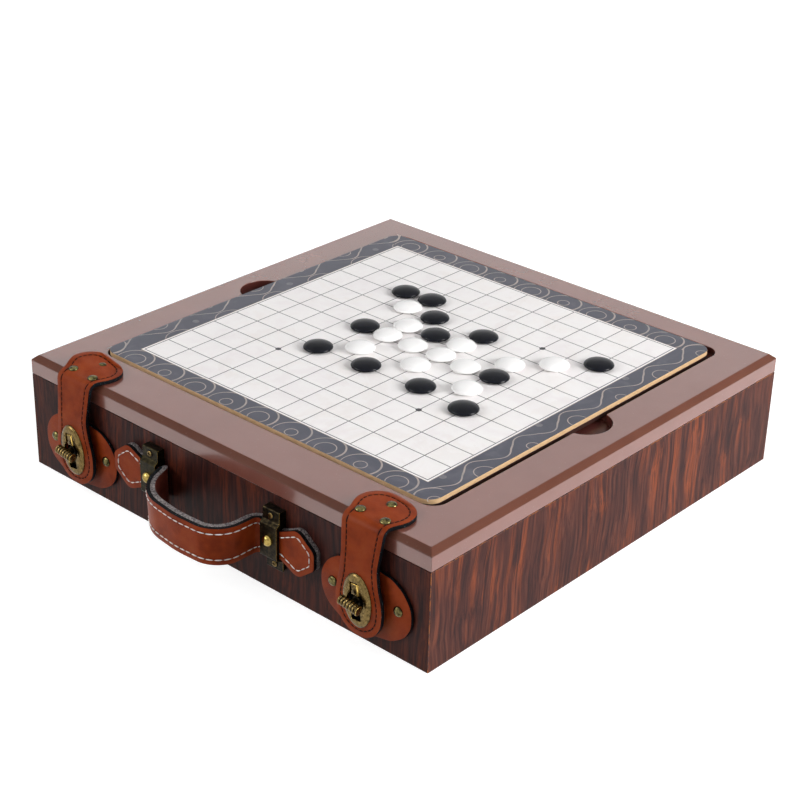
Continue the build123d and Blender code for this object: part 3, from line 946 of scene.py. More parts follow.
@dataclass(frozen=True)
class MarbleFace:
    """Printed pale marble with faint warm veins."""

    name: str = "marble_face"

    def made(self) -> Material:
        """Builds the material."""
        shader = Shader(self.name, Specular_IOR_Level=0.5)
        cloud = shader.noise((26, 26, 26), 5, 0.62, 1.2)
        body = shader.ramp(
            cloud, (0.36, paint(246, 241, 241)), (0.5, paint(251, 248, 247)), (0.66, paint(248, 243, 241))
        )
        vein = shader.noise((14, 14, 14), 6, 0.66, 2.4)
        share = shader.scaled(shader.span(vein, 0.56, 0.585), 0, 0.35)
        shader.colour(shader.mixed(share, body, paint(240, 234, 231)))
        shader.roughness(shader.scaled(cloud, 0.42, 0.52))
        shader.relief(shader.noise((900, 900, 900), 2), 0.01, 0.3)
        return shader.material


class Palette:
    """Every finish of the box, made once."""

    def __init__(self) -> None:
        """Builds the materials."""
        self.lid_paint = LidPaint().made()
        # The bevel's copy of the lid paint, darker and uncoated: painted shade on the same paint as the top.
        self.bevel_shade_paint = LidPaint("bevel_shade_paint", paint(96, 56, 43), paint(106, 64, 50), 0.0, 0.12).made()
        # The recess's copy of the lid paint, darker still and uncoated: painted shade in the recess and
        # notches.
        self.recess_shade_paint = LidPaint("recess_shade_paint", paint(74, 37, 34), paint(88, 46, 41), 0.0, 0.15).made()
        # The same wrap in two copies: the darker one for the front and back walls is painted shade, the
        # lighter one for the side walls painted light.
        self.wrap_front_shaded = RosewoodWrap(
            "rosewood_front_shaded", paint(28, 13, 14), paint(54, 25, 21), paint(76, 38, 30), paint(116, 52, 28)
        ).made()
        self.wrap_side = RosewoodWrap("rosewood_side").made()
        self.wrap_arris = WornArris().made()
        self.leather = Leather("strap_leather").made()
        self.edge_ink = EdgeInk().made()
        self.fibre_core = FibreCore().made()
        self.inner_leather = Leather(
            "inner_leather", paint(96, 44, 34), paint(70, 30, 24), paint(112, 56, 42)
        ).made()
        self.dark_thread = Thread("dark_thread", paint(40, 15, 8), paint(20, 8, 5)).made()
        self.white_thread = Thread("white_thread", paint(255, 253, 250), paint(240, 236, 233)).made()
        self.spot_ink = Speckled("spot_ink", paint(118, 114, 118), paint(98, 96, 104), (400, 400, 400)).made()
        # Dark brown for the lower board's edge: painted shadow in the gap under the upper board.
        self.lower_board_shadow_edge = Speckled(
            "lower_board_shadow_edge", paint(56, 28, 22), paint(40, 20, 17), (240, 240, 1500), (0.6, 0.75), 0.06, 0.2
        ).made()
        self.brass = AntiqueBrass(
            "antique_brass", paint(62, 51, 30), paint(140, 117, 72), 0.3, 0.72, (0.2, 0.34)
        ).made()
        self.brass_dark = AntiqueBrass("brass_dark", paint(16, 13, 10), paint(72, 62, 42), 0.42, 0.76).made()
        self.brass_olive = AntiqueBrass("brass_olive", paint(17, 15, 10), paint(66, 59, 38), 0.4, 0.76).made()
        self.rivet_brass = AntiqueBrass(
            "rivet_brass", paint(40, 36, 20), paint(138, 128, 82), 0.4, 0.72, (0.12, 0.24)
        ).made()
        # Bright brass for rounded arrises: partly wear, partly painted highlights along the edges.
        self.brass_worn_and_glint = AntiqueBrass(
            "brass_worn_and_glint", paint(160, 128, 62), paint(226, 190, 104), 0.3, 0.55, (0.2, 0.34)
        ).made()
        self.brass_gold = AntiqueBrass(
            "brass_gold", paint(100, 84, 40), paint(178, 154, 86), 0.3, 0.6, (0.14, 0.24)
        ).made()
        self.slate = SlateFace().made()
        self.marble = MarbleFace().made()
        self.board_edge = Speckled(
            "board_edge", paint(222, 186, 142), paint(198, 160, 116), (240, 240, 1500), (0.55, 0.7), 0.08
        ).made()
        self.bare_board = Speckled(
            "bare_board", paint(150, 112, 78), paint(122, 88, 60), (420, 420, 420), (0.6, 0.8), 0.06
        ).made()
        self.divider_board = Speckled(
            "divider_board", paint(164, 124, 86), paint(138, 100, 66), (60, 60, 700), (0.5, 0.7), 0.05
        ).made()
        self.grid_ink = Speckled(
            "grid_ink", paint(30, 28, 34), paint(52, 50, 56), (700, 700, 700), (0.5, 0.6)
        ).made()
        self.foil_ink = Speckled(
            "foil_ink", paint(176, 160, 152), paint(146, 138, 134), (120, 120, 120), (0.36, 0.5), 0.01
        ).made()
        self.field_rim = Speckled(
            "field_rim", paint(214, 198, 184), paint(196, 178, 162), (200, 200, 200)
        ).made()
        self.black_stone = Speckled(
            "black_stone", paint(4, 6, 15), paint(7, 9, 20), (300, 300, 300), (0.14, 0.18), 0.003, 0.14
        ).made()
        self.white_stone = Speckled(
            "white_stone", paint(250, 248, 247), paint(252, 251, 250), (120, 120, 120), (0.2, 0.28), 0.01, 0.5
        ).made()
        self.felt = Speckled(
            "felt", paint(52, 30, 28), paint(78, 48, 42), (1600, 1600, 1600), (0.9, 1.0), 0.5, 0.2
        ).made()


@dataclass(frozen=True)
class CameraPlace:
    """Where the photograph was taken from."""

    place: Point = (0.68906, -0.78714, 0.58043)
    azimuth: float = 42.02
    elevation: float = 27.07
    roll: float = 1.22
    lens: float = 83.7
    sensor: float = 36.0
    near: float = 0.05
    shift: Corner = (0.02185, -0.0045)


@dataclass(frozen=True)
class Lamp:
    """A soft box: its place, what it faces, its size in metres and its power in watts."""

    name: str
    place: Point
    size: Corner
    power: float
    aim: Point = (0.0, 0.0, 0.03)


@dataclass
class Studio:
    """White sweep all round, soft boxes and the camera."""

    camera: CameraPlace = CameraPlace()
    floor_radius: float = 2.2
    floor_sides: int = 96
    wall_height: float = 1.35
    wall_flare: float = 1.18
    cove: float = 500.0
    paper: Colour = (0.5, 0.5, 0.5, 1)
    glow: float = 0.82
    world_strength: float = 0.12
    lamps: tuple[Lamp, ...] = (
        Lamp("key_softbox", (-0.9, -1.5, 1.3), (1.2, 1.2), 34.0),
        Lamp("top_softbox", (-0.35, 0.3, 1.7), (0.9, 0.9), 420.0),
        Lamp("right_softbox", (1.75, 0.55, 0.8), (0.8, 0.8), 42.0),
    )

    def build(self) -> None:
        """Sets up everything that isn't the box."""
        self.sweep()
        self.world()
        for lamp in self.lamps:
            self.hang(lamp)
        self.stand_camera()
        bpy.context.scene.view_settings.view_transform = "Standard"

    def sweep(self) -> None:
        """Round floor whose rim turns up into a low wall."""
        circle = bpy.ops.mesh.primitive_circle_add
        sweep = primitive(
            "sweep", circle, vertices=self.floor_sides, radius=self.floor_radius, fill_type="NGON"
        )
        everything(sweep, Element.EDGE)
        pulled(0, 0, self.wall_height / MM)
        stretched(self.wall_flare, self.wall_flare, 1, (0, 0, self.wall_height / MM))
        pick(sweep, Element.EDGE, lambda middle, run: abs(middle.z) < 1 and middle.xy.length > 1000)
        bevelled(self.cove, 10)
        outward(inside=True)
        done()
        smooth(sweep, 60)
        sweep.data.materials.append(self.sweep_paper())

    def sweep_paper(self) -> Material:
        """White paper that the camera and glossy surfaces see a little brighter than it is lit."""
        paper = Shader("sweep_paper")
        ray = paper.node("LightPath", 0, {}).node.outputs
        seen = paper.node("Math", 0, {0: ray["Is Camera Ray"], 1: ray["Is Glossy Ray"]}, operation="MAXIMUM")
        seen = paper.node("Math", 0, {0: seen, 1: ray["Is Transmission Ray"]}, operation="MAXIMUM")
        level = paper.node("Math", 0, {0: seen, 1: self.glow}, operation="MULTIPLY")
        glow = paper.node("Emission", 0, {"Strength": level})
        lit = paper.node("BsdfDiffuse", 0, {"Color": self.paper})
        both = paper.node("AddShader", 0, {0: lit, 1: glow})
        paper.link(both, paper.tree.nodes["Material Output"].inputs["Surface"])
        return paper.material

    def world(self) -> None:
        """Even fill light, white only to the camera."""
        world = bpy.data.worlds.new("studio")
        world.use_nodes = True
        bpy.context.scene.world = world
        fill = Nodes(world.node_tree)
        ray = fill.node("LightPath", 0, {}).node.outputs
        feeds = {"Value": ray["Is Camera Ray"], "To Min": self.world_strength, "To Max": 1.0}
        level = fill.node("MapRange", "Result", feeds)
        background = fill.tree.nodes["Background"]
        background.inputs["Color"].default_value = (1, 1, 1, 1)
        fill.link(level, background.inputs["Strength"])

    def hang(self, lamp: Lamp) -> None:
        """Hangs one soft box."""
        light = bpy.data.lights.new(lamp.name, "AREA")
        light.shape = "RECTANGLE"
        light.size, light.size_y = lamp.size
        light.energy = lamp.power
        holder = bpy.data.objects.new(lamp.name, light)
        aim = Vector(lamp.aim) - Vector(lamp.place)
        holder.rotation_euler = aim.to_track_quat("-Z", "Y").to_euler()
        holder.location = lamp.place
        bpy.context.scene.collection.objects.link(holder)

    def stand_camera(self) -> None:
        """Puts the camera at the photograph's viewing angle."""
        angles = (self.camera.azimuth, self.camera.elevation, self.camera.roll)
        around, above, roll = (math.radians(angle) for angle in angles)
        level = math.cos(above)
        back = Vector((math.sin(around) * level, -math.cos(around) * level, math.sin(above)))
        right = Vector((math.cos(around), math.sin(around), 0))
        up = back.cross(right)
        tilted_right = right * math.cos(roll) + up * math.sin(roll)
        tilted_up = up * math.cos(roll) - right * math.sin(roll)
        data = bpy.data.cameras.new("camera")
        data.lens = self.camera.lens
        data.sensor_width = self.camera.sensor
        data.shift_x, data.shift_y = self.camera.shift
        data.clip_start = self.camera.near
        holder = bpy.data.objects.new("camera", data)
        matrix = Matrix((tilted_right, tilted_up, back)).transposed().to_4x4()
        matrix.translation = Vector(self.camera.place)
        holder.matrix_world = matrix
        bpy.context.scene.collection.objects.link(holder)
        bpy.context.scene.camera = holder


def dress(
    piece: Piece, body: str | None, materials: Sequence[Material], nodes: Sequence[str] = ()
) -> Piece:
    """Gives a finished piece its materials, its body and the nodes it stands for.

    Args:
        piece: The finished piece.
        body: Body that it moves with, or None for a piece that bends between two.
        materials: Materials for its slots in order.
        nodes: CAD nodes that it replaces.

    Returns:
        The same piece.
    """
    filled(piece, *materials)
    if body:
        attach(piece, body)
    if nodes:
        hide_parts(*nodes)
    LOG.info("piece %s on %s, %d faces", piece.name, body or "two bodies", len(piece.data.polygons))
    return piece


def coat(nodes: Iterable[str], material: Material) -> None:
    """Gives CAD nodes that stay a finish in their own slots."""
    for name in nodes:
        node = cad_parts[name]
        if not node.material_slots:
            node.data.materials.append(material)
        for place in node.material_slots:
            place.material = material
        LOG.info("node %s keeps its shape", name)


@dataclass
class CaseShell:
    """Four mitred walls round the bottom panel."""

    palette: Palette
    half: float = 165.0
    thick: float = 12.0
    top: float = 63.0
    rabbet: float = 6.0
    arris: float = 0.35
    soft_arris: float = 0.22

    def build(self) -> None:
        """Makes the walls and dresses the bottom."""
        # The front and back walls take the darker, painted-shade copy of the wrap.
        front, side = self.palette.wrap_front_shaded, self.palette.wrap_side
        walls = (("front_wall", front), ("right_wall", side), ("back_wall", front), ("left_wall", side))
        for number, (name, finish) in enumerate(walls):
            wall = self.wall(name + "_wrapped", finish is side)
            placed(wall, Matrix.Rotation(math.radians(90 * number), 4, "Z"))
            finishes = (finish, self.palette.wrap_arris, self.palette.divider_board)
            dress(crisp(wall, 30), "case", finishes, (name,))
        coat(("bottom_panel",), self.palette.bare_board)

    def wall(self, name: str, rubbed: bool) -> Piece:
        """One front wall with mitred ends, a rabbet and a worn arris outside.

        Args:
            name: Name of the wall.
            rubbed: Whether its top arris is worn too.

        Returns:
            The wall at the front of the box.
        """
        half, step = self.half, self.rabbet
        wall = block(name, (-half, -half, 0), (half, -half + step, self.top))
        everything(wall)
        bpy.ops.mesh.bisect(plane_co=(0, 0, step * MM), plane_no=(0, 0, 1))
        pick(wall, Element.FACE, lambda middle, normal: normal.y > ALONG and middle.z > step)
        pulled(0, self.thick - step, 0)
        for inset in (step, self.thick):
            y = -half + inset
            pick(wall, Element.VERTEX, lambda middle, normal: abs(middle.y - y) < 0.01)
            stretched((half - inset) / half, 1, 1)
        done()
        assigned(wall, 3, 2, lambda middle, normal: abs(normal.x) > 0.5 or normal.y > 0.5)
        pick(wall, Element.EDGE, lambda middle, run: abs(middle.y + half) < 0.01 and abs(run.z) > ALONG)
        bevelled(self.arris, 2, 1)
        for upper in (False, True):
            pick(wall, Element.EDGE, lambda middle, run: (
                abs(middle.y + half) < 0.5 and abs(run.x) > ALONG
                and (middle.z > self.top - 13 if upper else middle.z < 1)
            ))
            bevelled(self.soft_arris, 2, 1 if upper and rubbed else 0)
            done()
        return wall


@dataclass
class LidPanel:
    """Painted lid with a bevelled top, a recess for the boards and two finger notches."""

    palette: Palette
    half: float = 165.0
    under: float = 63.3
    top: float = 75.8
    bevel_in: float = 3.6
    bevel_down: float = 3.1
    arris: float = 0.4
    recess: float = 275.0
    recess_corner: float = 10.0
    recess_y: float = 6.0
    recess_depth: float = 4.5
    notch_x: float = 133.5
    notch_radius: float = 16.5
    notch_depth: float = 5.6

    def build(self) -> None:
        """Makes the lid."""
        shoulder = self.top - self.bevel_down
        lid = block(
            "lid_painted", (-self.half, -self.half, self.under), (self.half, self.half, shoulder)
        )
        pick(lid, Element.FACE, lambda middle, normal: normal.z > ALONG)
        pulled(0, 0, self.bevel_down)
        share = (self.half - self.bevel_in) / self.half
        stretched(share, share, 1)
        done()
        cut(lid, self.recess_tool(), *(self.notch_tool(side) for side in Side))
        softened(lid, self.arris, 3, 25)
        finishes = (self.palette.lid_paint, self.palette.bevel_shade_paint, self.palette.recess_shade_paint)
        filled(lid, *finishes)
        for face in lid.data.polygons:
            middle = face.center / MM
            outside = max(abs(middle.x), abs(middle.y)) > self.half - self.bevel_in - 0.3
            # Faces of the bevel and its roundings take the darker copy: painted shade.
            if outside and middle.z > shoulder - 0.5 and face.normal.z < 0.98:
                face.material_index = 1
            # Walls and floors of the recess and notches take the darkest copy: painted shade.
            elif not outside and self.under + 1 < middle.z < self.top - 1:
                face.material_index = 2
        dress(crisp(lid, 60), "lid", (), ("lid_panel",))

    def recess_tool(self) -> Piece:
        """Block with rounded corners that cuts the recess."""
        reach = self.recess / 2
        tool = block(
            "recess_tool", (-reach, self.recess_y - reach, self.top - self.recess_depth),
            (reach, self.recess_y + reach, self.top + 5),
        )
        pick(tool, Element.EDGE, lambda middle, run: abs(run.z) > ALONG)
        bevelled(self.recess_corner, 12)
        done()
        return tool

    def notch_tool(self, side: Side) -> Piece:
        """Round tool that cuts one finger notch."""
        x = side.value * self.notch_x
        return rod(
            "notch_tool", self.notch_radius, (x, self.recess_y, self.top - self.notch_depth),
            (x, self.recess_y, self.top + 5), 64,
        )


@dataclass
class GameBoards:
    """Two loose boards in the recess, the upper one printed."""

    palette: Palette
    side: float = 270.0
    corner: float = 9.0
    centre: Corner = (-1.7, 5.0)
    floor: float = 71.3
    thick: float = 3.0
    border: float = 16.06
    margin: float = 1.76
    lines: int = 13
    line_width: float = 0.58
    star_radius: float = 1.9
    ink: float = 0.03
    ring_pitch: float = 27.15
    ring_radius: float = 12.0
    big_circle: float = 6.5
    small_circle: float = 3.9
    spot_radius: float = 1.1
    wave_period: float = 42.5
    wave_swing: float = 5.1
    trim: float = 0.35
    ring_rows: Corner = (-130.5, 123.8)
    ring_start: float = -110.9
    side_start: float = -3.5
    side_circles: Corner = (-138.2, 134.3)
    side_rings: float = -112.0
    waves: tuple[Corner, Corner] = ((-130.4, 39.0), (126.3, 19.0))
    side_spots: tuple[Corner, Corner] = ((-125.2, 17.9), (120.8, -23.8))
    ring_ink: Corner = (0.3, 0.62)
    circle_ink: Corner = (0.3, 0.34)
    side_ring_ink: Corner = (0.28, 0.5)
    side_circle_ink: Corner = (0.28, 0.34)
    spot_ink: float = 1.15

    @property
    def face(self) -> float:
        """Height of the printed face."""
        return self.floor + 2 * self.thick

    @property
    def pitch(self) -> float:
        """Distance between grid lines."""
        return (self.side - 2 * (self.border + self.margin)) / (self.lines - 1)

    def build(self) -> None:
        """Makes both boards and the print."""
        lower = self.board("lower_board_panel", self.floor)
        # The lower board's edge is painted shadow.
        finishes = (self.palette.slate, self.palette.lower_board_shadow_edge)
        dress(lower, "lower_board", finishes, ("lower_board",))
        upper = self.board("game_board_panel", self.floor + self.thick)
        finishes = (self.palette.slate, self.palette.board_edge)
        dress(upper, "game_board", finishes, ("game_board",))
        self.field()
        self.grid()
        self.ornament()

    def board(self, name: str, z: float) -> Piece:
        """One board with rounded corners and a slightly eased top arris.

        Args:
            name: Name of the board.
            z: Height of its underside.

        Returns:
            The board, slot 0 on its top and slot 1 elsewhere.
        """
        x, y, reach = self.centre[0], self.centre[1], self.side / 2
        board = block(name, (x - reach, y - reach, z), (x + reach, y + reach, z + self.thick))
        pick(board, Element.EDGE, lambda middle, run: abs(run.z) > ALONG)
        bevelled(self.corner, 10)
        pick(board, Element.FACE, lambda middle, normal: normal.z > ALONG)
        bpy.ops.mesh.inset(thickness=0.3 * MM)
        done()
        assigned(board, 2, 1, lambda middle, normal: abs(normal.z) < 0.5 or normal.z < -0.5)
        softened(board, 0.22, 2, 50)
        return crisp(board, 60)

    def field(self) -> None:
        """Pale marbled playing field, a hair above the slate, with its fine rim."""
        x, y = self.centre
        reach = self.side / 2 - self.border
        low = (x - reach, y - reach, self.face - 0.5)
        field = block("marble_field", low, (x + reach, y + reach, self.face + self.ink / 2))
        softened(field, 0.01, 1, 50)
        dress(field, "game_board", (self.palette.marble,))
        rim = block("field_rim", low, (x + reach, y + reach, self.face + self.ink * 0.7))
        pick(rim, Element.FACE, lambda middle, normal: abs(normal.z) > ALONG)
        bpy.ops.mesh.inset(thickness=0.35 * MM)
        bpy.ops.mesh.delete(type="FACE")
        done()
        inner = reach - 0.3
        pick(rim, Element.EDGE, lambda middle, run: max(abs(middle.x - x), abs(middle.y - y)) < inner)
        bpy.ops.mesh.bridge_edge_loops()
        outward()
        done()
        dress(rim, "game_board", (self.palette.field_rim,))

    def grid(self) -> None:
        """Thirteen lines each way and five star points."""
        x, y = self.centre
        count, level = self.lines - 1, self.face + self.ink / 2
        grid = fixed(primitive(
            "grid_print", bpy.ops.mesh.primitive_grid_add, x_subdivisions=count, y_subdivisions=count,
            size=count * self.pitch * MM, location=(x * MM, y * MM, level * MM),
        ))
        modified(
            grid, "WIREFRAME", thickness=self.line_width * MM, use_boundary=True, use_replace=True,
            use_even_offset=True, offset=0,
        )
        everything(grid, Element.VERTEX)
        stretched(1, 1, self.ink / self.line_width, (0, 0, level))
        done()
        stars = []
        for i, j in ((3, 3), (9, 3), (3, 9), (9, 9), (6, 6)):
            spot = (x + (i - count / 2) * self.pitch, y + (j - count / 2) * self.pitch)
            foot, top = (*spot, self.face - 0.2), (*spot, self.face + self.ink * 1.2)
            star = rod("star", self.star_radius, foot, top, 24)
            stars.append(softened(star, 0.01, 1, 50))
        print_ = joined("grid_print", [grid, *stars])
        dress(print_, "game_board", (self.palette.grid_ink,))

    def ornament(self) -> None:
        """Rings on the front and back borders, waves and circles on the side borders."""
        ribbons = []
        outer = self.side / 2 - self.trim
        field = self.side / 2 - self.border + 0.2
        for y, low, high in zip(self.ring_rows, (-outer, field), (-field, outer)):
            limits = (-outer, outer, low, high)
            for k in range(-1, 10):
                x = self.ring_start + k * self.ring_pitch
                ribbons.append(self.ring(x, y, self.ring_radius, self.ring_ink, limits))
                if 0 <= k < 9:
                    ribbons.append(self.ring(x, y, self.circle(k), self.circle_ink, limits))
        sides = ((-outer, -field, -outer, outer), (field, outer, -outer, outer))
        for (middle, start), limits in zip(self.waves, sides):
            ribbons.append(self.wave(middle, start, limits))
        left, right = self.side_circles
        for k in range(-3, 4):
            y, radius = self.side_start + k * self.wave_period, self.circle(k)
            limits = (-outer, -field, -field, field)
            ribbons.append(self.ring(left, y, radius, self.side_circle_ink, sides[0]))
            ribbons.append(self.ring(self.side_rings, y, self.ring_radius, self.side_ring_ink, limits))
            ribbons.append(self.ring(right, y, radius, self.side_circle_ink, sides[1]))
        for k in range(-1, 2):
            for (x, y), limits in zip(self.side_spots, sides):
                spot = self.spot(x, y + k * 2 * self.wave_period, limits)
                ribbons.append(filled(spot, self.palette.foil_ink, self.palette.spot_ink, use=1))
        for ribbon in [r for r in ribbons if not r.data.polygons]:
            ribbons.remove(ribbon)
            gone(ribbon)
        print_ = joined("border_print", [filled(ribbon, self.palette.foil_ink) for ribbon in ribbons])
        finishes = (self.palette.foil_ink, self.palette.spot_ink)
        dress(smooth(print_, 60), "game_board", finishes)

    def circle(self, k: int) -> float:
        """Radius of the circle in the ornament's k-th step, big and small by turns."""
        return self.small_circle if k % 2 else self.big_circle

    def inked(self, line: Piece, limits: Limits, depth: float = 1.0) -> Piece:
        """Turns a line into flat ink on the face, cut off at the limits of its border.

        Args:
            line: Curve of the ink, round the board's centre in millimetres.
            limits: Lowest and highest x, lowest and highest y.
            depth: Half the ink's width where the curve's radius is 1.

        Returns:
            The inked line as a mesh.
        """
        line.data.bevel_depth = depth * MM
        line.data.bevel_resolution = 0
        ribbon = meshed(line)
        everything(ribbon, Element.VERTEX)
        stretched(1, 1, 0.06)
        low_x, high_x, low_y, high_y = limits
        cuts = ((low_x, 0, -1, 0), (high_x, 0, 1, 0), (0, low_y, 0, -1), (0, high_y, 0, 1))
        for x, y, way_x, way_y in cuts:
            bpy.ops.mesh.select_all(action="SELECT")
            bpy.ops.mesh.bisect(
                plane_co=(x * MM, y * MM, 0), plane_no=(way_x, way_y, 0), clear_outer=True, use_fill=True
            )
        done()
        ribbon.location = (self.centre[0] * MM, self.centre[1] * MM, self.face * MM)
        return fixed(ribbon)

    def ring(self, x: float, y: float, radius: float, ink: Corner, limits: Limits) -> Piece:
        """Circle of ink, thin on its left and swelling on its right."""
        thin, thick = ink
        corners = [(x + radius, y), (x, y + radius), (x - radius, y), (x, y - radius)]
        line = flowing("ring", corners, steps=14)
        ways = ((0, 1, 0), (-1, 0, 0), (0, -1, 0), (1, 0, 0))
        even = (thin + thick) / 2
        for point, way, width in zip(line.data.splines[0].bezier_points, ways, (thick, even, thin, even)):
            reach = Vector(way) * (radius * QUARTER_ARC * MM)
            point.handle_left_type = point.handle_right_type = "FREE"
            point.handle_left = point.co - reach
            point.handle_right = point.co + reach
            point.radius = width
        return self.inked(line, limits)

    def wave(self, middle: float, start: float, limits: Limits) -> Piece:
        """Wave of ink along a side border, thicker where it turns towards the back."""
        anchors, widths = [], []
        quarter = self.wave_period / 4
        for n in range(-18, 12):
            y = start + n * quarter
            if abs(y) > self.side / 2 + quarter:
                continue
            phase = n % 4
            anchors.append((middle + self.wave_swing * (1, 0, -1, 0)[phase], y))
            widths.append((0.4, 0.55, 0.4, 0.3)[phase])
        line = flowing("wave", anchors, closed=False, steps=10)
        for point, width in zip(line.data.splines[0].bezier_points, widths):
            point.radius = width
        return self.inked(line, limits)

    def spot(self, x: float, y: float, limits: Limits) -> Piece:
        """Round dot of ink."""
        reach = self.spot_radius
        corners = [(x + reach, y), (x, y + reach), (x - reach, y), (x, y - reach)]
        spot = self.inked(flowing("spot", corners), limits, self.spot_ink)
        everything(spot, Element.VERTEX)
        stretched(1, 1, 0.25, (0, 0, self.face))
        done()
        return spot


@dataclass
class Stones:
    """Black and white stones on the grid's crossings."""

    palette: Palette
    boards: GameBoards
    diameter: float = 19.0
    height: float = 4.8
    waist: float = 1.6
    under_share: float = 0.62
    black: tuple[Corner, ...] = (
        (3.0, 9.1), (4.1, 9.2), (5.1, 8.2), (3.9, 6.1), (3.9, 3.9), (6.0, 7.2),
        (7.2, 8.2), (5.9, 4.0), (8.1, 4.1), (9.3, 6.2), (10.0, 3.9), (11.1, 9.2),
    )
    white: tuple[Corner, ...] = (
        (3.9, 8.2), (4.9, 7.1), (4.9, 6.1), (4.9, 4.8), (6.0, 6.1), (7.1, 6.2),
        (7.1, 7.2), (7.0, 5.1), (8.2, 6.1), (9.1, 7.2), (9.2, 5.0), (10.1, 8.2),
    )

    def build(self) -> None:
        """Makes one stone and lays copies of it out."""
        first = self.stone()
        middle = (self.boards.lines - 1) / 2
        for colour, places, finish in (
            ("black", self.black, self.palette.black_stone), ("white", self.white, self.palette.white_stone)
        ):
            copies = []
            for i, j in places:
                x = self.boards.centre[0] + (i - middle) * self.boards.pitch
                y = self.boards.centre[1] + (j - middle) * self.boards.pitch
                copies.append(copied(first, f"{colour}_stone", (x, y, self.boards.face)))
            group = joined(f"{colour}_stones", copies)
            nodes = (f"stones_{colour}",)
            dress(smooth(group, 60), f"stones_{colour}", (finish,), nodes)
        gone(first)

    def stone(self) -> Piece:
        """One lens-shaped stone, flat under its foot and widest low down."""
        stone = primitive(
            "stone", bpy.ops.mesh.primitive_uv_sphere_add, segments=48, ring_count=28,
            radius=self.diameter / 2 * MM,
        )
        stone.scale = (1, 1, (self.height - self.waist) / (self.diameter / 2))
        fixed(stone)
        pick(stone, Element.VERTEX, lambda middle, normal: middle.z < -0.001)
        stretched(1, 1, self.under_share)
        done()
        everything(stone)
        bpy.ops.mesh.bisect(
            plane_co=(0, 0, -self.waist * MM), plane_no=(0, 0, -1), clear_outer=True, use_fill=True
        )
        done()
        stone.location.z = self.waist * MM
        return fixed(stone)


@dataclass
class Fasteners:
    """Rivets, studs and screws, each modelled once."""

    palette: Palette
    collar: float = 0.35
    sunk: float = 0.2
    shadow_disc: float = 1.35
    shadow_disc_top: float = 0.1
    under: float = -0.3
    cross: Corner = (0.62, 0.18)
    cross_depth: float = 0.35

    def rivet(self, radius: float, dome: float) -> Piece:
        """Domed rivet head on a thin collar, its face up.

        Args:
            radius: Radius of the head in millimetres.
            dome: Height of the dome.

        Returns:
            The head at the origin.
        """
        sphere = bpy.ops.mesh.primitive_uv_sphere_add
        head = fixed(primitive("rivet_head", sphere, segments=32, ring_count=20, radius=radius * MM))
        everything(head)
        bpy.ops.mesh.bisect(plane_co=(0, 0, 0), plane_no=(0, 0, -1), clear_outer=True, use_fill=False)
        bpy.ops.mesh.select_all(action="SELECT")
        stretched(1, 1, (dome - self.collar) / radius)
        bpy.ops.transform.translate(value=(0, 0, self.collar * MM))
        done()
        pick(head, Element.EDGE, lambda middle, run: (
            middle.z < self.collar + 0.01 and middle.xy.length > radius * 0.9
        ))
        pulled(0, 0, -self.collar - self.sunk)
        bpy.ops.mesh.edge_face_add()
        outward()
        done()
        return smooth(head, 50)

    def screw(self, radius: float, height: float) -> Piece:
        """Pan head with a cross recess, its face up, on a black disc that is painted shadow round the head.
        """
        shadow_disc = rod("shadow_disc", radius * self.shadow_disc, (0, 0, self.under), (0, 0, self.shadow_disc_top), 32)
        head = rod("screw_head", radius, (0, 0, self.under), (0, 0, height), 32)
        softened(head, height * 0.55, 3, 50)
        filled(head, self.palette.brass, self.palette.edge_ink)
        # The disc under the head is black: painted shadow.
        filled(shadow_disc, self.palette.brass, self.palette.edge_ink, use=1)
        reach, width = radius * self.cross[0], radius * self.cross[1]
        for x, y in ((reach, width), (width, reach)):
            low, high = (-x, -y, height * self.cross_depth), (x, y, height + 1)
            cut(head, block("slot_tool", low, high))
        return smooth(joined("screw_head", [head, shadow_disc]), 35)

    def set_all(
        self, name: str, head: Piece, places: Sequence[Matrix], body: str,
        finishes: Sequence[Material], nodes: Sequence[str],
    ) -> None:
        """Sets copies of a head at places and puts the first one away.

        Args:
            name: Name of the group.
            head: The modelled head.
            places: Where each one goes.
            body: Body that they move with.
            finishes: Their materials.
            nodes: Nodes that they stand for.
        """
        heads = [placed(copied(head, name), place) for place in places]
        gone(head)
        dress(joined(name, heads), body, finishes, nodes)


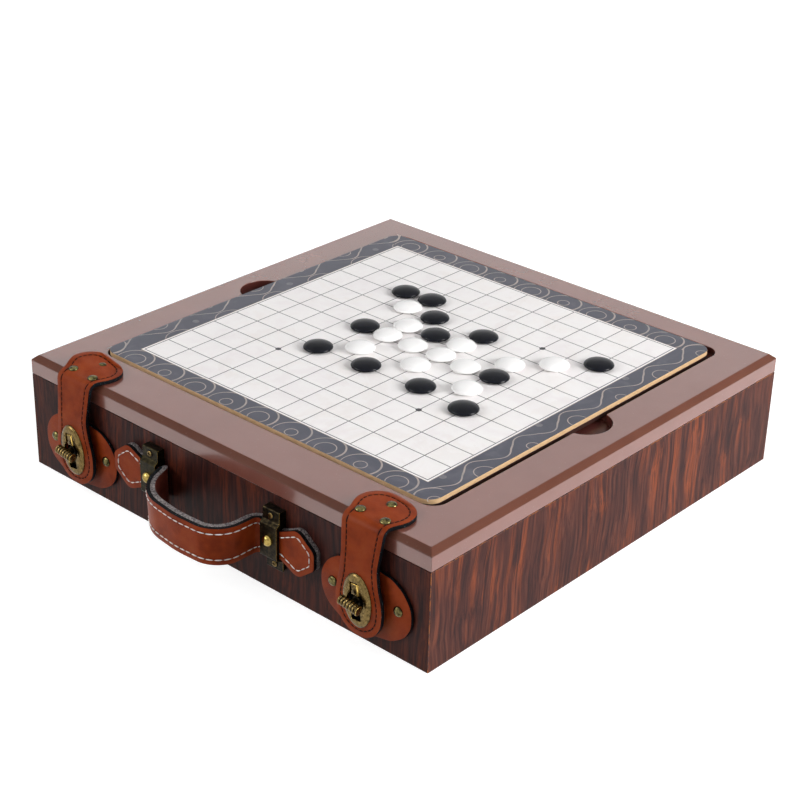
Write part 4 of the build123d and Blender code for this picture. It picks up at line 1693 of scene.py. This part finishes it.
@dataclass
class TurnLock:
    """Oval plate on the flap, and the base and ribbed knob on the wall."""

    palette: Palette
    z: float = 30.2
    plate: Corner = (20.5, 33.0)
    plate_face: float = -173.2
    back_plate_face: float = -169.8
    back_size: Point = (17.0, 31.0, 0.8)
    foot_size: Point = (18.0, 28.0, 1.2)
    dome: tuple[Corner, ...] = ((0.35, 0.5), (0.55, 0.45), (0.75, 0.35), (1.0, 0.2), (1.1, 0.05))
    post: tuple[Point, Point] = ((-2.9, 3.6, 0.5), (2.9, 10.3, 7.3))
    heel: tuple[Point, Point] = ((-2.7, -10.2, 0.5), (2.7, -4.4, 5.2))
    post_highlight_rib: tuple[Point, Point] = ((1.5, 3.8, 0.5), (2.7, 10.1, 8.0))
    boss_radius: float = 2.8
    neck_radius: float = 2.1
    spindle_radius: float = 1.6
    barrel_radius: float = 2.4
    slot: Corner = (6.5, 23.0)
    patch_face: float = -167.4
    knob_y: float = -179.6
    knob_length: float = 13.5
    knob_tilt: float = 8.0
    ribs: int = 7
    rib_radius: float = 2.85
    opening: float = 6.2
    turned: dict[Side, float] = field(default_factory=lambda: {Side.LEFT: 8.0, Side.RIGHT: 5.0})

    def build(self, side: Side, x: float) -> None:
        """Makes one lock at x."""
        word = side.word
        turn = Matrix.Rotation(math.radians(self.turned[side]), 4, "Z")
        plate = self.oval_plate(f"lock_plate_{word}")
        placed(plate, upright(x, self.plate_face, self.z) @ turn)
        finishes = (self.palette.brass, self.palette.brass_worn_and_glint)
        dress(plate, f"flap_{word}", finishes, (f"latch_plate_{word}",))
        back = self.back_plate(f"lock_backplate_{word}")
        placed(back, upright(x, self.back_plate_face, self.z) @ turn)
        finishes = (self.palette.brass_dark,)
        dress(back, f"flap_{word}", finishes, (f"latch_backplate_{word}",))
        base = self.base(f"lock_foot_{word}")
        placed(base, upright(x, self.patch_face, self.z) @ turn)
        dress(base, "case", (), (f"lock_base_{word}",))
        knob = self.knob(f"lock_knob_{word}")
        placed(knob, Matrix.Translation(Vector((x, 0, self.z)) * MM))
        dress(knob, f"knob_{word}", (), (f"turn_knob_{word}",))

    def oval(self, name: str, width: float, height: float, thick: float) -> Piece:
        """Flat oval lying on the ground."""
        add = bpy.ops.mesh.primitive_circle_add
        oval = primitive(name, add, vertices=72, radius=0.5 * MM, fill_type="NGON")
        oval.scale = (width, height, 1)
        fixed(oval)
        everything(oval)
        pulled(0, 0, thick)
        outward()
        done()
        return oval

    def oval_plate(self, name: str) -> Piece:
        """Oval plate with a domed rim, its slot widened to a round opening in the middle."""
        oval = self.oval(name, *self.plate, 0.5)
        pick(oval, Element.FACE, lambda middle, normal: normal.z > ALONG)
        for inward, rise in self.dome:
            bpy.ops.mesh.inset(thickness=inward * MM, depth=rise * MM)
        done()
        width, height = self.slot[0] / 2 + 0.2, self.slot[1] / 2
        cut(
            oval, block("slot_tool", (-width, -height, -3), (width, height, 5)),
            rod("opening_tool", self.opening, (0, 0, -3), (0, 0, 5), 48),
        )
        # The plate's rounded arrises take the bright brass: partly wear, partly painted highlights.
        softened(filled(oval, None, None), 0.25, 2, 48, 1)
        return smooth(oval, 45)

    def back_plate(self, name: str) -> Piece:
        """Washer plate behind the leather."""
        oval = self.oval(name, *self.back_size)
        width, height = self.slot[0] / 2, self.slot[1] / 2
        cut(oval, block("slot_tool", (-width, -height, -3), (width, height, 5)))
        return smooth(softened(oval, 0.15, 2, 50))

    def base(self, name: str) -> Piece:
        """Oval foot, a boss and a post that stands up into the slot; the foot, boss and heel are dark as
        painted shade in the opening, and the post's bright rib is a painted highlight.
        """
        foot = self.oval(name, *self.foot_size)
        softened(foot, 0.25, 2, 50)
        boss = softened(rod("boss", self.boss_radius, (0, 0, 0.5), (0, 0, 7.0), 40), 0.3, 2, 50)
        post, heel, rib = block("post", *self.post), block("heel", *self.heel), block("rib", *self.post_highlight_rib)
        # Foot, boss and heel, seen through the opening, are dark brass: painted shade inside it.
        for piece in (foot, boss, heel):
            filled(piece, self.palette.brass_dark)
        softened(filled(post, self.palette.brass, self.palette.brass_worn_and_glint), 0.25, 2, 50, 1)
        # The rib is all bright brass: a painted highlight along the post's edge.
        softened(filled(rib, self.palette.brass_worn_and_glint), 0.4, 3, 50)
        return smooth(joined(name, [foot, boss, post, heel, rib]), 45)

    def knob(self, name: str) -> Piece:
        """Ribbed barrel lying across the slot on its neck."""
        face = self.patch_face
        neck = rod("neck", self.neck_radius, (0, face - 6.9, 0), (0, self.knob_y + 1.0, 0), 28)
        spindle = rod("spindle", self.spindle_radius, (0, face + 0.5, 0), (0, face - 7.5, 0), 24)
        half, radius = self.knob_length / 2, self.rib_radius
        barrel = rod("barrel", self.barrel_radius, (-half, 0, 0), (half, 0, 0), 32)
        softened(barrel, 0.3, 2, 50)
        # Neck, spindle and barrel core in dark brass, ribs in lighter brass: painted shade in the grooves,
        # painted highlights on the ribs.
        for piece in (neck, spindle, barrel):
            filled(piece, self.palette.brass_dark)
        step = self.knob_length / (2 * self.ribs - 1)
        rib = rod("rib", radius, (-half, 0, 0), (-half + 1.3 * step, 0, 0), 32)
        softened(filled(rib, self.palette.brass), 0.4, 3, 50)
        ribs = [copied(rib, "rib", (2 * n * step, 0, 0)) for n in range(self.ribs)]
        gone(rib)
        cap = rod("cap", radius, (half - 1.0, 0, 0), (half + 0.3, 0, 0), 32)
        pick(cap, Element.FACE, lambda middle, normal: normal.x > ALONG)
        bpy.ops.mesh.inset(thickness=0.55 * MM)
        pulled(-0.35, 0, 0)
        done()
        # The cap's dished end is dark brass and its rounded rim bright brass: painted shade and a painted
        # highlight.
        softened(filled(cap, self.palette.brass_dark, self.palette.brass_worn_and_glint), 0.18, 2, 50, 1)
        body = joined("barrel", [cap, barrel, *ribs])
        tilt = Matrix.Rotation(math.radians(self.knob_tilt), 4, "Y")
        placed(body, Matrix.Translation((0, self.knob_y * MM, 0)) @ tilt)
        return smooth(joined(name, [neck, spindle, body]), 45)


@dataclass
class Strap:
    """Leather strap from its tab on the lid to its flap, with its patch, seams and lock."""

    palette: Palette
    lock: TurnLock
    fasteners: Fasteners
    thick: float = 2.6
    tab_end: float = -138.2
    lid_top: float = 75.8
    bend_y: float = -167.84
    hang_y: float = -170.6
    hang_z: float = 51.95
    bottom: float = 8.0
    tab_round: float = 13.5
    half_tab: float = 18.2
    half_flap: float = 16.7
    neck: tuple[Corner, ...] = ((19.5, 17.6), (25.5, 15.5), (31.0, 14.8))
    waist: tuple[Corner, ...] = ((52.0, 13.5), (45.0, 13.2), (35.0, 14.1), (25.0, 16.3))
    seam_inset: float = 3.6
    groove: float = 1.1
    shoulder_radius: float = 3.3
    drape_radius: float = 38.7
    stitch: Point = (3.0, 0.25, 0.72)
    lean: dict[Side, float] = field(default_factory=lambda: {Side.LEFT: 2.2, Side.RIGHT: 0.8})
    curl: dict[Side, float] = field(default_factory=lambda: {Side.LEFT: 3.6, Side.RIGHT: 1.4})
    curl_from: Corner = (-8.5, -162.4)
    curl_way: Corner = (-0.867, 0.498)
    curl_start: float = 12.8
    curl_reach: float = 15.0
    wall: float = -165.0
    spindle_hole: float = 1.8
    patch_thick: float = 2.4
    patch_top: tuple[Corner, ...] = ((33.15, 0.5), (29.95, 10.5), (21.65, 18.0), (16.0, 20.0))
    patch_foot: tuple[Corner, ...] = ((29.95, -10.8), (21.65, -17.8), (16.0, -20.0))
    patch_places: dict[Side, tuple[Corner, float]] = field(
        default_factory=lambda: {Side.LEFT: ((-117.3, 27.4), 0.5), Side.RIGHT: ((121.3, 28.8), 2.6)}
    )
    spots: dict[Side, float] = field(default_factory=lambda: {Side.LEFT: -117.4, Side.RIGHT: 121.0})
    rivet_head: Corner = (3.15, 1.9)
    tab_rivets: tuple[Corner, ...] = ((-8.9, -162.3), (9.2, -162.6), (0.1, -147.6))
    patch_rivets: tuple[Corner, ...] = ((-24.0, 1.6), (24.0, 1.6))
    screw_step: float = 11.8
    screw_head: Corner = (1.5, 0.6)

    def build(self) -> None:
        """Makes both straps."""
        for side, x in self.spots.items():
            self.strap(side, x)
            self.patch(side, x)
            self.lock.build(side, x)
        self.rivets()

    def strap(self, side: Side, x: float) -> None:
        """One strap: cut flat, grooved, sewn and bent over the lid's edge."""
        line = self.hanging_line(side, x)
        length = run_of(line)
        anchors = self.anchors(length)
        stations = sorted({*range(2, int(length), 2), *(26 + 0.6 * n for n in range(1, 16))})
        outline = flowing("outline", anchors, filled=True)
        leather = hide_sheet(f"strap_{side.word}", outline, self.thick, stations)
        finishes = (self.palette.leather, self.palette.edge_ink, self.palette.dark_thread)
        filled(leather, *finishes[:2])
        middle = length - (self.lock.z - self.bottom)
        long, wide = self.lock.slot[1] / 2 + 0.6, self.lock.slot[0] / 2 + 0.6
        tools = (
            block("slot_tool", (middle - long, -wide, -1), (middle + long, wide, 5)),
            rod("opening_tool", self.lock.opening + 0.3, (middle, 0, -1), (middle, 0, 5), 40),
        )
        cut(leather, *(filled(tool, *finishes[:2], use=1) for tool in tools))
        seam = flowing("seam", inset_corners(anchors, self.seam_inset))
        grooved(leather, seam, self.thick, self.groove)
        stitches = sewn(f"strap_stitches_{side.word}", seam, *self.stitch, self.thick - 0.16)
        strap = joined(f"strap_{side.word}", [leather, filled(stitches, finishes[2])])
        bent(strap, line)
        gone(line)
        self.curl_up(strap, side, x)
        nodes = (f"strap_tab_{side.word}", f"strap_flap_{side.word}")
        dress(smooth(strap, 40), None, finishes, nodes)
        x = self.spots[side] * MM
        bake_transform(strap)

    def curl_up(self, strap: Piece, side: Side, x: float) -> None:
        """Lifts the tab's back left corner, which no rivet holds."""
        rivet = Vector((x + self.curl_from[0], self.curl_from[1]))
        way = Vector(self.curl_way)
        pick(strap, Element.VERTEX, lambda middle, normal: (
            middle.z > self.lid_top - 1.8 and (middle.xy - rivet).dot(way) > self.curl_start
        ))
        bpy.ops.transform.translate(
            value=(0, 0, self.curl[side] * MM), use_proportional_edit=True,
            proportional_edit_falloff="SMOOTH", proportional_size=self.curl_reach * MM,
        )
        done()

    def hanging_line(self, side: Side, x: float) -> Piece:
        """Line of the strap's back, from the tab's end over the lid's edge to the flap's end."""
        corners = [
            (x, self.tab_end, self.lid_top), (x, self.bend_y, self.lid_top), (x, self.hang_y, self.hang_z),
            (x + self.lean[side], self.hang_y, self.bottom),
        ]
        rounds = (0, self.shoulder_radius, self.drape_radius, 0)
        return traced("hanging_line", corners, rounds, steps=24)

    def anchors(self, length: float) -> list[Corner]:
        """Outline of the flat strap, anticlockwise from the tab's end.

        The neck is given from the tab's end and the waist from the flap's end.

        Args:
            length: Length of the strap along its back.

        Returns:
            Points along and across, in millimetres.
        """
        arc = [math.radians(angle) for angle in (30, 60, 90)]
        tab, flap = self.tab_round, self.half_flap
        right = [
            *((tab * (1 - math.cos(turn)), self.half_tab * math.sin(turn)) for turn in arc),
            *self.neck, *((length - back, half) for back, half in self.waist),
            *((length - flap * (1 - math.cos(turn)), flap * math.sin(turn)) for turn in reversed(arc)),
        ]
        left = [(x, -y) for x, y in right]
        return [(0.0, 0.0), *left, (length, 0.0), *reversed(right)]

    def patch(self, side: Side, x: float) -> None:
        """Leather patch behind the flap."""
        anchors = [
            *self.patch_top, *((-x, y) for x, y in reversed(self.patch_top)),
            *((-x, y) for x, y in self.patch_foot), *reversed(self.patch_foot),
        ]
        outline = flowing("outline", anchors, filled=True)
        patch = hide_sheet(f"patch_{side.word}", outline, self.patch_thick)
        (middle, z), turn = self.patch_places[side]
        placed(patch, upright(middle, self.wall, z) @ Matrix.Rotation(math.radians(turn), 4, "Z"))
        start, end = (x, self.wall + 1, self.lock.z), (x, self.wall - 3.5, self.lock.z)
        cut(patch, rod("hole_tool", self.spindle_hole, start, end, 24))
        finishes = (self.palette.leather, self.palette.edge_ink)
        dress(smooth(patch, 40), "case", finishes, (f"base_patch_{side.word}",))

    def rivets(self) -> None:
        """Rivets of the tabs and patches and the screws of the lock bases."""
        tab, patch, screws = [], [], []
        for side, x in self.spots.items():
            for dx, y in self.tab_rivets:
                tab.append(Matrix.Translation(Vector((x + dx, y, self.lid_top + self.thick)) * MM))
            (middle, z), turn = self.patch_places[side]
            lean = Matrix.Rotation(math.radians(turn), 4, "Z")
            for dx, dz in self.patch_rivets:
                step = Matrix.Translation((dx * MM, dz * MM, 0))
                patch.append(upright(middle, self.lock.patch_face, z) @ lean @ step)
            lean = Matrix.Rotation(math.radians(self.lock.turned[side]), 4, "Z")
            for dz in (-self.screw_step, self.screw_step):
                step = Matrix.Translation((0, dz * MM, 0))
                screws.append(upright(x, self.lock.patch_face - 1.2, self.lock.z) @ lean @ step)
        setting, finish = self.fasteners.set_all, (self.palette.rivet_brass,)
        for kind, places, body in (("tab", tab, "lid"), ("patch", patch, "case")):
            head = self.fasteners.rivet(*self.rivet_head)
            setting(f"{kind}_rivet_heads", head, places, body, finish, (f"{kind}_rivets",))
        head, finish = self.fasteners.screw(*self.screw_head), (self.palette.brass, self.palette.edge_ink)
        setting("lock_screw_heads", head, screws, "case", finish, ("lock_base_screws",))


@dataclass
class Handle:
    """Carrying handle of leather over a fibre core, with its leaf ends."""

    palette: Palette
    middle: Point = (1.8, -165.0, 36.5)
    leather: float = 2.4
    lining: float = 2.9
    root_x: float = 40.85
    end_x: float = 83.5
    seam_inset: float = 3.5
    droop: float = 2.5
    station_step: float = 0.9
    groove: float = 1.2
    stitch: Point = (4.2, 0.4, 0.62)
    bow: tuple[Corner, ...] = ((-27.3, -194.9), (6.3, -199.0), (36.8, -197.4))
    bow_rounds: tuple[float, ...] = (0, 6.4, 31.6, 77.6, 16.3, 5.9, 0)
    half_outline: tuple[Limits, ...] = (
        (0.0, 5.5, 5.5, 4.5), (12.5, 15.3, 15.3, 6.5), (26.0, 8.9, 8.9, 8.0), (38.5, 9.2, 9.2, 4.0),
        (43.0, 11.0, 11.4, 4.0), (63.0, 12.8, 11.3, 30.0),
    )

    def build(self) -> None:
        """Makes the handle's leather, core and stitches."""
        line = self.plan_line()
        length = run_of(line)
        corners, rounds = self.outline(length)
        stations = [n * self.station_step for n in range(1, int(length / self.station_step))]
        outline = traced("outline", corners, rounds, True, True)
        leather = hide_sheet("handle_leather", outline, self.leather, stations)
        seam_rounds = [max(r - 2.0, 1.5) for r in rounds]
        seam = traced("seam", inset_corners(corners, self.seam_inset), seam_rounds, True)
        grooved(leather, seam, self.leather, self.groove)
        stitches = sewn("handle_stitches", seam, *self.stitch, self.leather + 0.02)
        core = self.core(traced("outline", corners, rounds, True, True), stations)
        for piece in (leather, stitches, core):
            placed(piece, upright(0, 0, 0))
            bent(piece, line)
            smooth(piece, 40)
        gone(line)
        self.cross_the_hinge(
            leather, (self.palette.leather, self.palette.edge_ink),
            ("handle_grip", "handle_leaf_left", "handle_leaf_right"),
        )
        self.cross_the_hinge(
            core, (self.palette.fibre_core, self.palette.inner_leather),
            ("handle_lining", "handle_leaf_lining_left", "handle_leaf_lining_right"),
        )
        self.cross_the_hinge(stitches, (self.palette.white_thread,), ())

    def plan_line(self) -> Piece:
        """Line between leather and core, seen from above, from leaf end to leaf end."""
        x, y, z = self.middle
        y -= self.lining
        corners = [
            (x - self.end_x, y, z), (x - self.root_x, y, z), *((*spot, z) for spot in self.bow),
            (x + self.root_x - 3.6, y, z), (x + self.end_x, y, z),
        ]
        line = traced("plan_line", corners, self.bow_rounds, steps=24)
        for point in line.data.splines[0].bezier_points[3:9]:  # all of it between the two roots
            point.tilt = math.radians(self.droop)
        return line

    def outline(self, length: float) -> tuple[list[Corner], list[float]]:
        """Corners and radii of the flat handle, anticlockwise.

        Args:
            length: Length of the plan line.

        Returns:
            Corners along and across, and the radius at each.
        """
        half, loop = self.half_outline, []
        for way, side in ((-1, 1), (1, 2)):
            near = [(row[0], way * row[side], row[3]) for row in half]
            far = [(length - s, y, r) for s, y, r in near]
            loop += near + far[::-1] if way < 0 else far + near[::-1]
        return [(x, y) for x, y, _ in loop], [r for _, _, r in loop]

    def core(self, outline: Piece, stations: Sequence[float]) -> Piece:
        """Fibre core with a leather face towards the case."""
        core = flat_sheet("handle_core", outline)
        sliced(core, stations)
        thickened(core, self.lining, 0)
        return softened(core, 0.35, 2, 55)

    def cross_the_hinge(
        self, piece: Piece, finishes: Sequence[Material], nodes: Sequence[str]
    ) -> None:
        """Dresses a piece that flexes between the case and the swinging grip."""
        dress(piece, None, finishes, nodes)
        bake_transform(piece)


@dataclass
class Brackets:
    """Two brass brackets that clamp the handle's roots."""

    palette: Palette
    fasteners: Fasteners
    spots: tuple[float, float] = (-48.7, 52.3)
    middle_z: float = 36.5
    front: float = -165.0
    width: float = 13.0
    mouth: float = 5.5
    out: float = 7.9
    foot_round: float = 2.2
    bend_rounds: tuple[float, ...] = (0.0, 0.8, 1.2, 0.9, 0.8, 1.0, 0.6, 0.0, 0.0, 0.6, 0.6, 0.0)
    screw_places: tuple[Corner, ...] = ((5.4, 16.65), (2.6, -15.8))
    stud_rise: float = 1.6
    screw_head: Corner = (1.9, 0.9)
    stud_head: Corner = (3.5, 3.0)

    def build(self) -> None:
        """Makes both brackets, their screws and studs."""
        first = self.bracket()
        screws, studs = [], []
        for side, x in zip(Side, self.spots):
            bracket = copied(first, f"handle_bracket_{side.word}", (x, self.front, self.middle_z))
            brass = self.palette.brass_olive if side is Side.LEFT else self.palette.brass_dark
            finishes = (brass, self.palette.brass_worn_and_glint)
            dress(crisp(bracket, 60), "case", finishes, (f"bracket_{side.word}",))
            screws += [upright(x, self.front - y, self.middle_z + z) for y, z in self.screw_places]
            studs.append(upright(x, self.front - self.out, self.middle_z + self.stud_rise))
        gone(first)
        head, finishes = self.fasteners.screw(*self.screw_head), (self.palette.brass, self.palette.edge_ink)
        self.fasteners.set_all("bracket_screw_heads", head, screws, "case", finishes, ("bracket_screws",))
        head, finishes = self.fasteners.rivet(*self.stud_head), (self.palette.brass_gold,)
        self.fasteners.set_all("bracket_stud_heads", head, studs, "case", finishes, ("bracket_studs",))

    def bracket(self) -> Piece:
        """One bracket at the origin: head, slope, plate over the leather, and foot."""
        profile = [
            (0, 20.3), (5.4, 20.3), (5.4, 13.0), (self.out, 11.3), (self.out, -9.6), (2.6, -12.2),
            (2.6, -19.4), (0, -19.4), (0, -9.6), (self.mouth, -9.4), (self.mouth, 9.6), (0, 9.6),
        ]
        bracket = meshed(traced("profile", profile, self.bend_rounds, True, True, 3))
        everything(bracket)
        bpy.ops.mesh.dissolve_limited(angle_limit=FLAT / 2)
        bpy.ops.mesh.select_all(action="SELECT")
        pulled(0, 0, self.width)
        outward()
        bpy.ops.transform.translate(value=(0, 0, -self.width / 2 * MM))
        done()
        placed(bracket, Matrix(((0, 0, 1, 0), (-1, 0, 0, 0), (0, 1, 0, 0), (0, 0, 0, 1))))
        everything(bracket)
        outward()
        done()
        pick(bracket, Element.EDGE, lambda middle, run: abs(run.y) > ALONG and middle.z < -19.0)
        bevelled(self.foot_round, 5)
        done()
        filled(bracket, self.palette.brass_olive, self.palette.brass_worn_and_glint)
        # The rounded arrises take the bright brass: partly wear, partly painted highlights.
        return softened(bracket, 0.25, 2, 40, 1)


@dataclass
class Fitout:
    """Inside of the case and the hinges at the back."""

    palette: Palette
    felt_thick: float = 1.5
    case_felt: Corner = (152.85, 6.0)
    lid_felt: Corner = (150.0, 61.8)

    def build(self) -> None:
        """Dresses the inner nodes and makes the felt."""
        coat(("divider_long", "divider_cross_left", "divider_cross_right"), self.palette.divider_board)
        self.felt("case_felt", *self.case_felt, "case", "base_liner")
        self.felt("lid_felt", *self.lid_felt, "lid", "lid_liner")
        coat(
            [f"hinge_{part}_leaf_{side.word}" for part in ("case", "lid") for side in Side] + ["hinge_pins"],
            self.palette.brass,
        )
        coat(("hinge_case_screws", "hinge_lid_screws"), self.palette.brass_dark)

    def felt(self, name: str, half: float, low: float, body: str, node: str) -> None:
        """Felt sheet with a soft nap.

        Args:
            name: Name of the sheet.
            half: Half its side in millimetres.
            low: Height of its underside.
            body: Body that it moves with.
            node: Node that it replaces.
        """
        sheet = block(name, (-half, -half, low), (half, half, low + self.felt_thick))
        softened(sheet, 0.5, 3, 50)
        dress(smooth(sheet, 40), body, (self.palette.felt,), (node,))


def main() -> None:
    """Builds the studio and the box, piece by piece."""
    logging.basicConfig(level=logging.INFO, format="%(message)s")
    bpy.ops.object.select_all(action="DESELECT")
    Studio().build()
    palette = Palette()
    fasteners = Fasteners(palette)
    boards = GameBoards(palette)
    CaseShell(palette).build()
    LidPanel(palette).build()
    boards.build()
    Stones(palette, boards).build()
    Strap(palette, TurnLock(palette), fasteners).build()
    Handle(palette).build()
    Brackets(palette, fasteners).build()
    Fitout(palette).build()


if __name__ == "__main__":
    main()
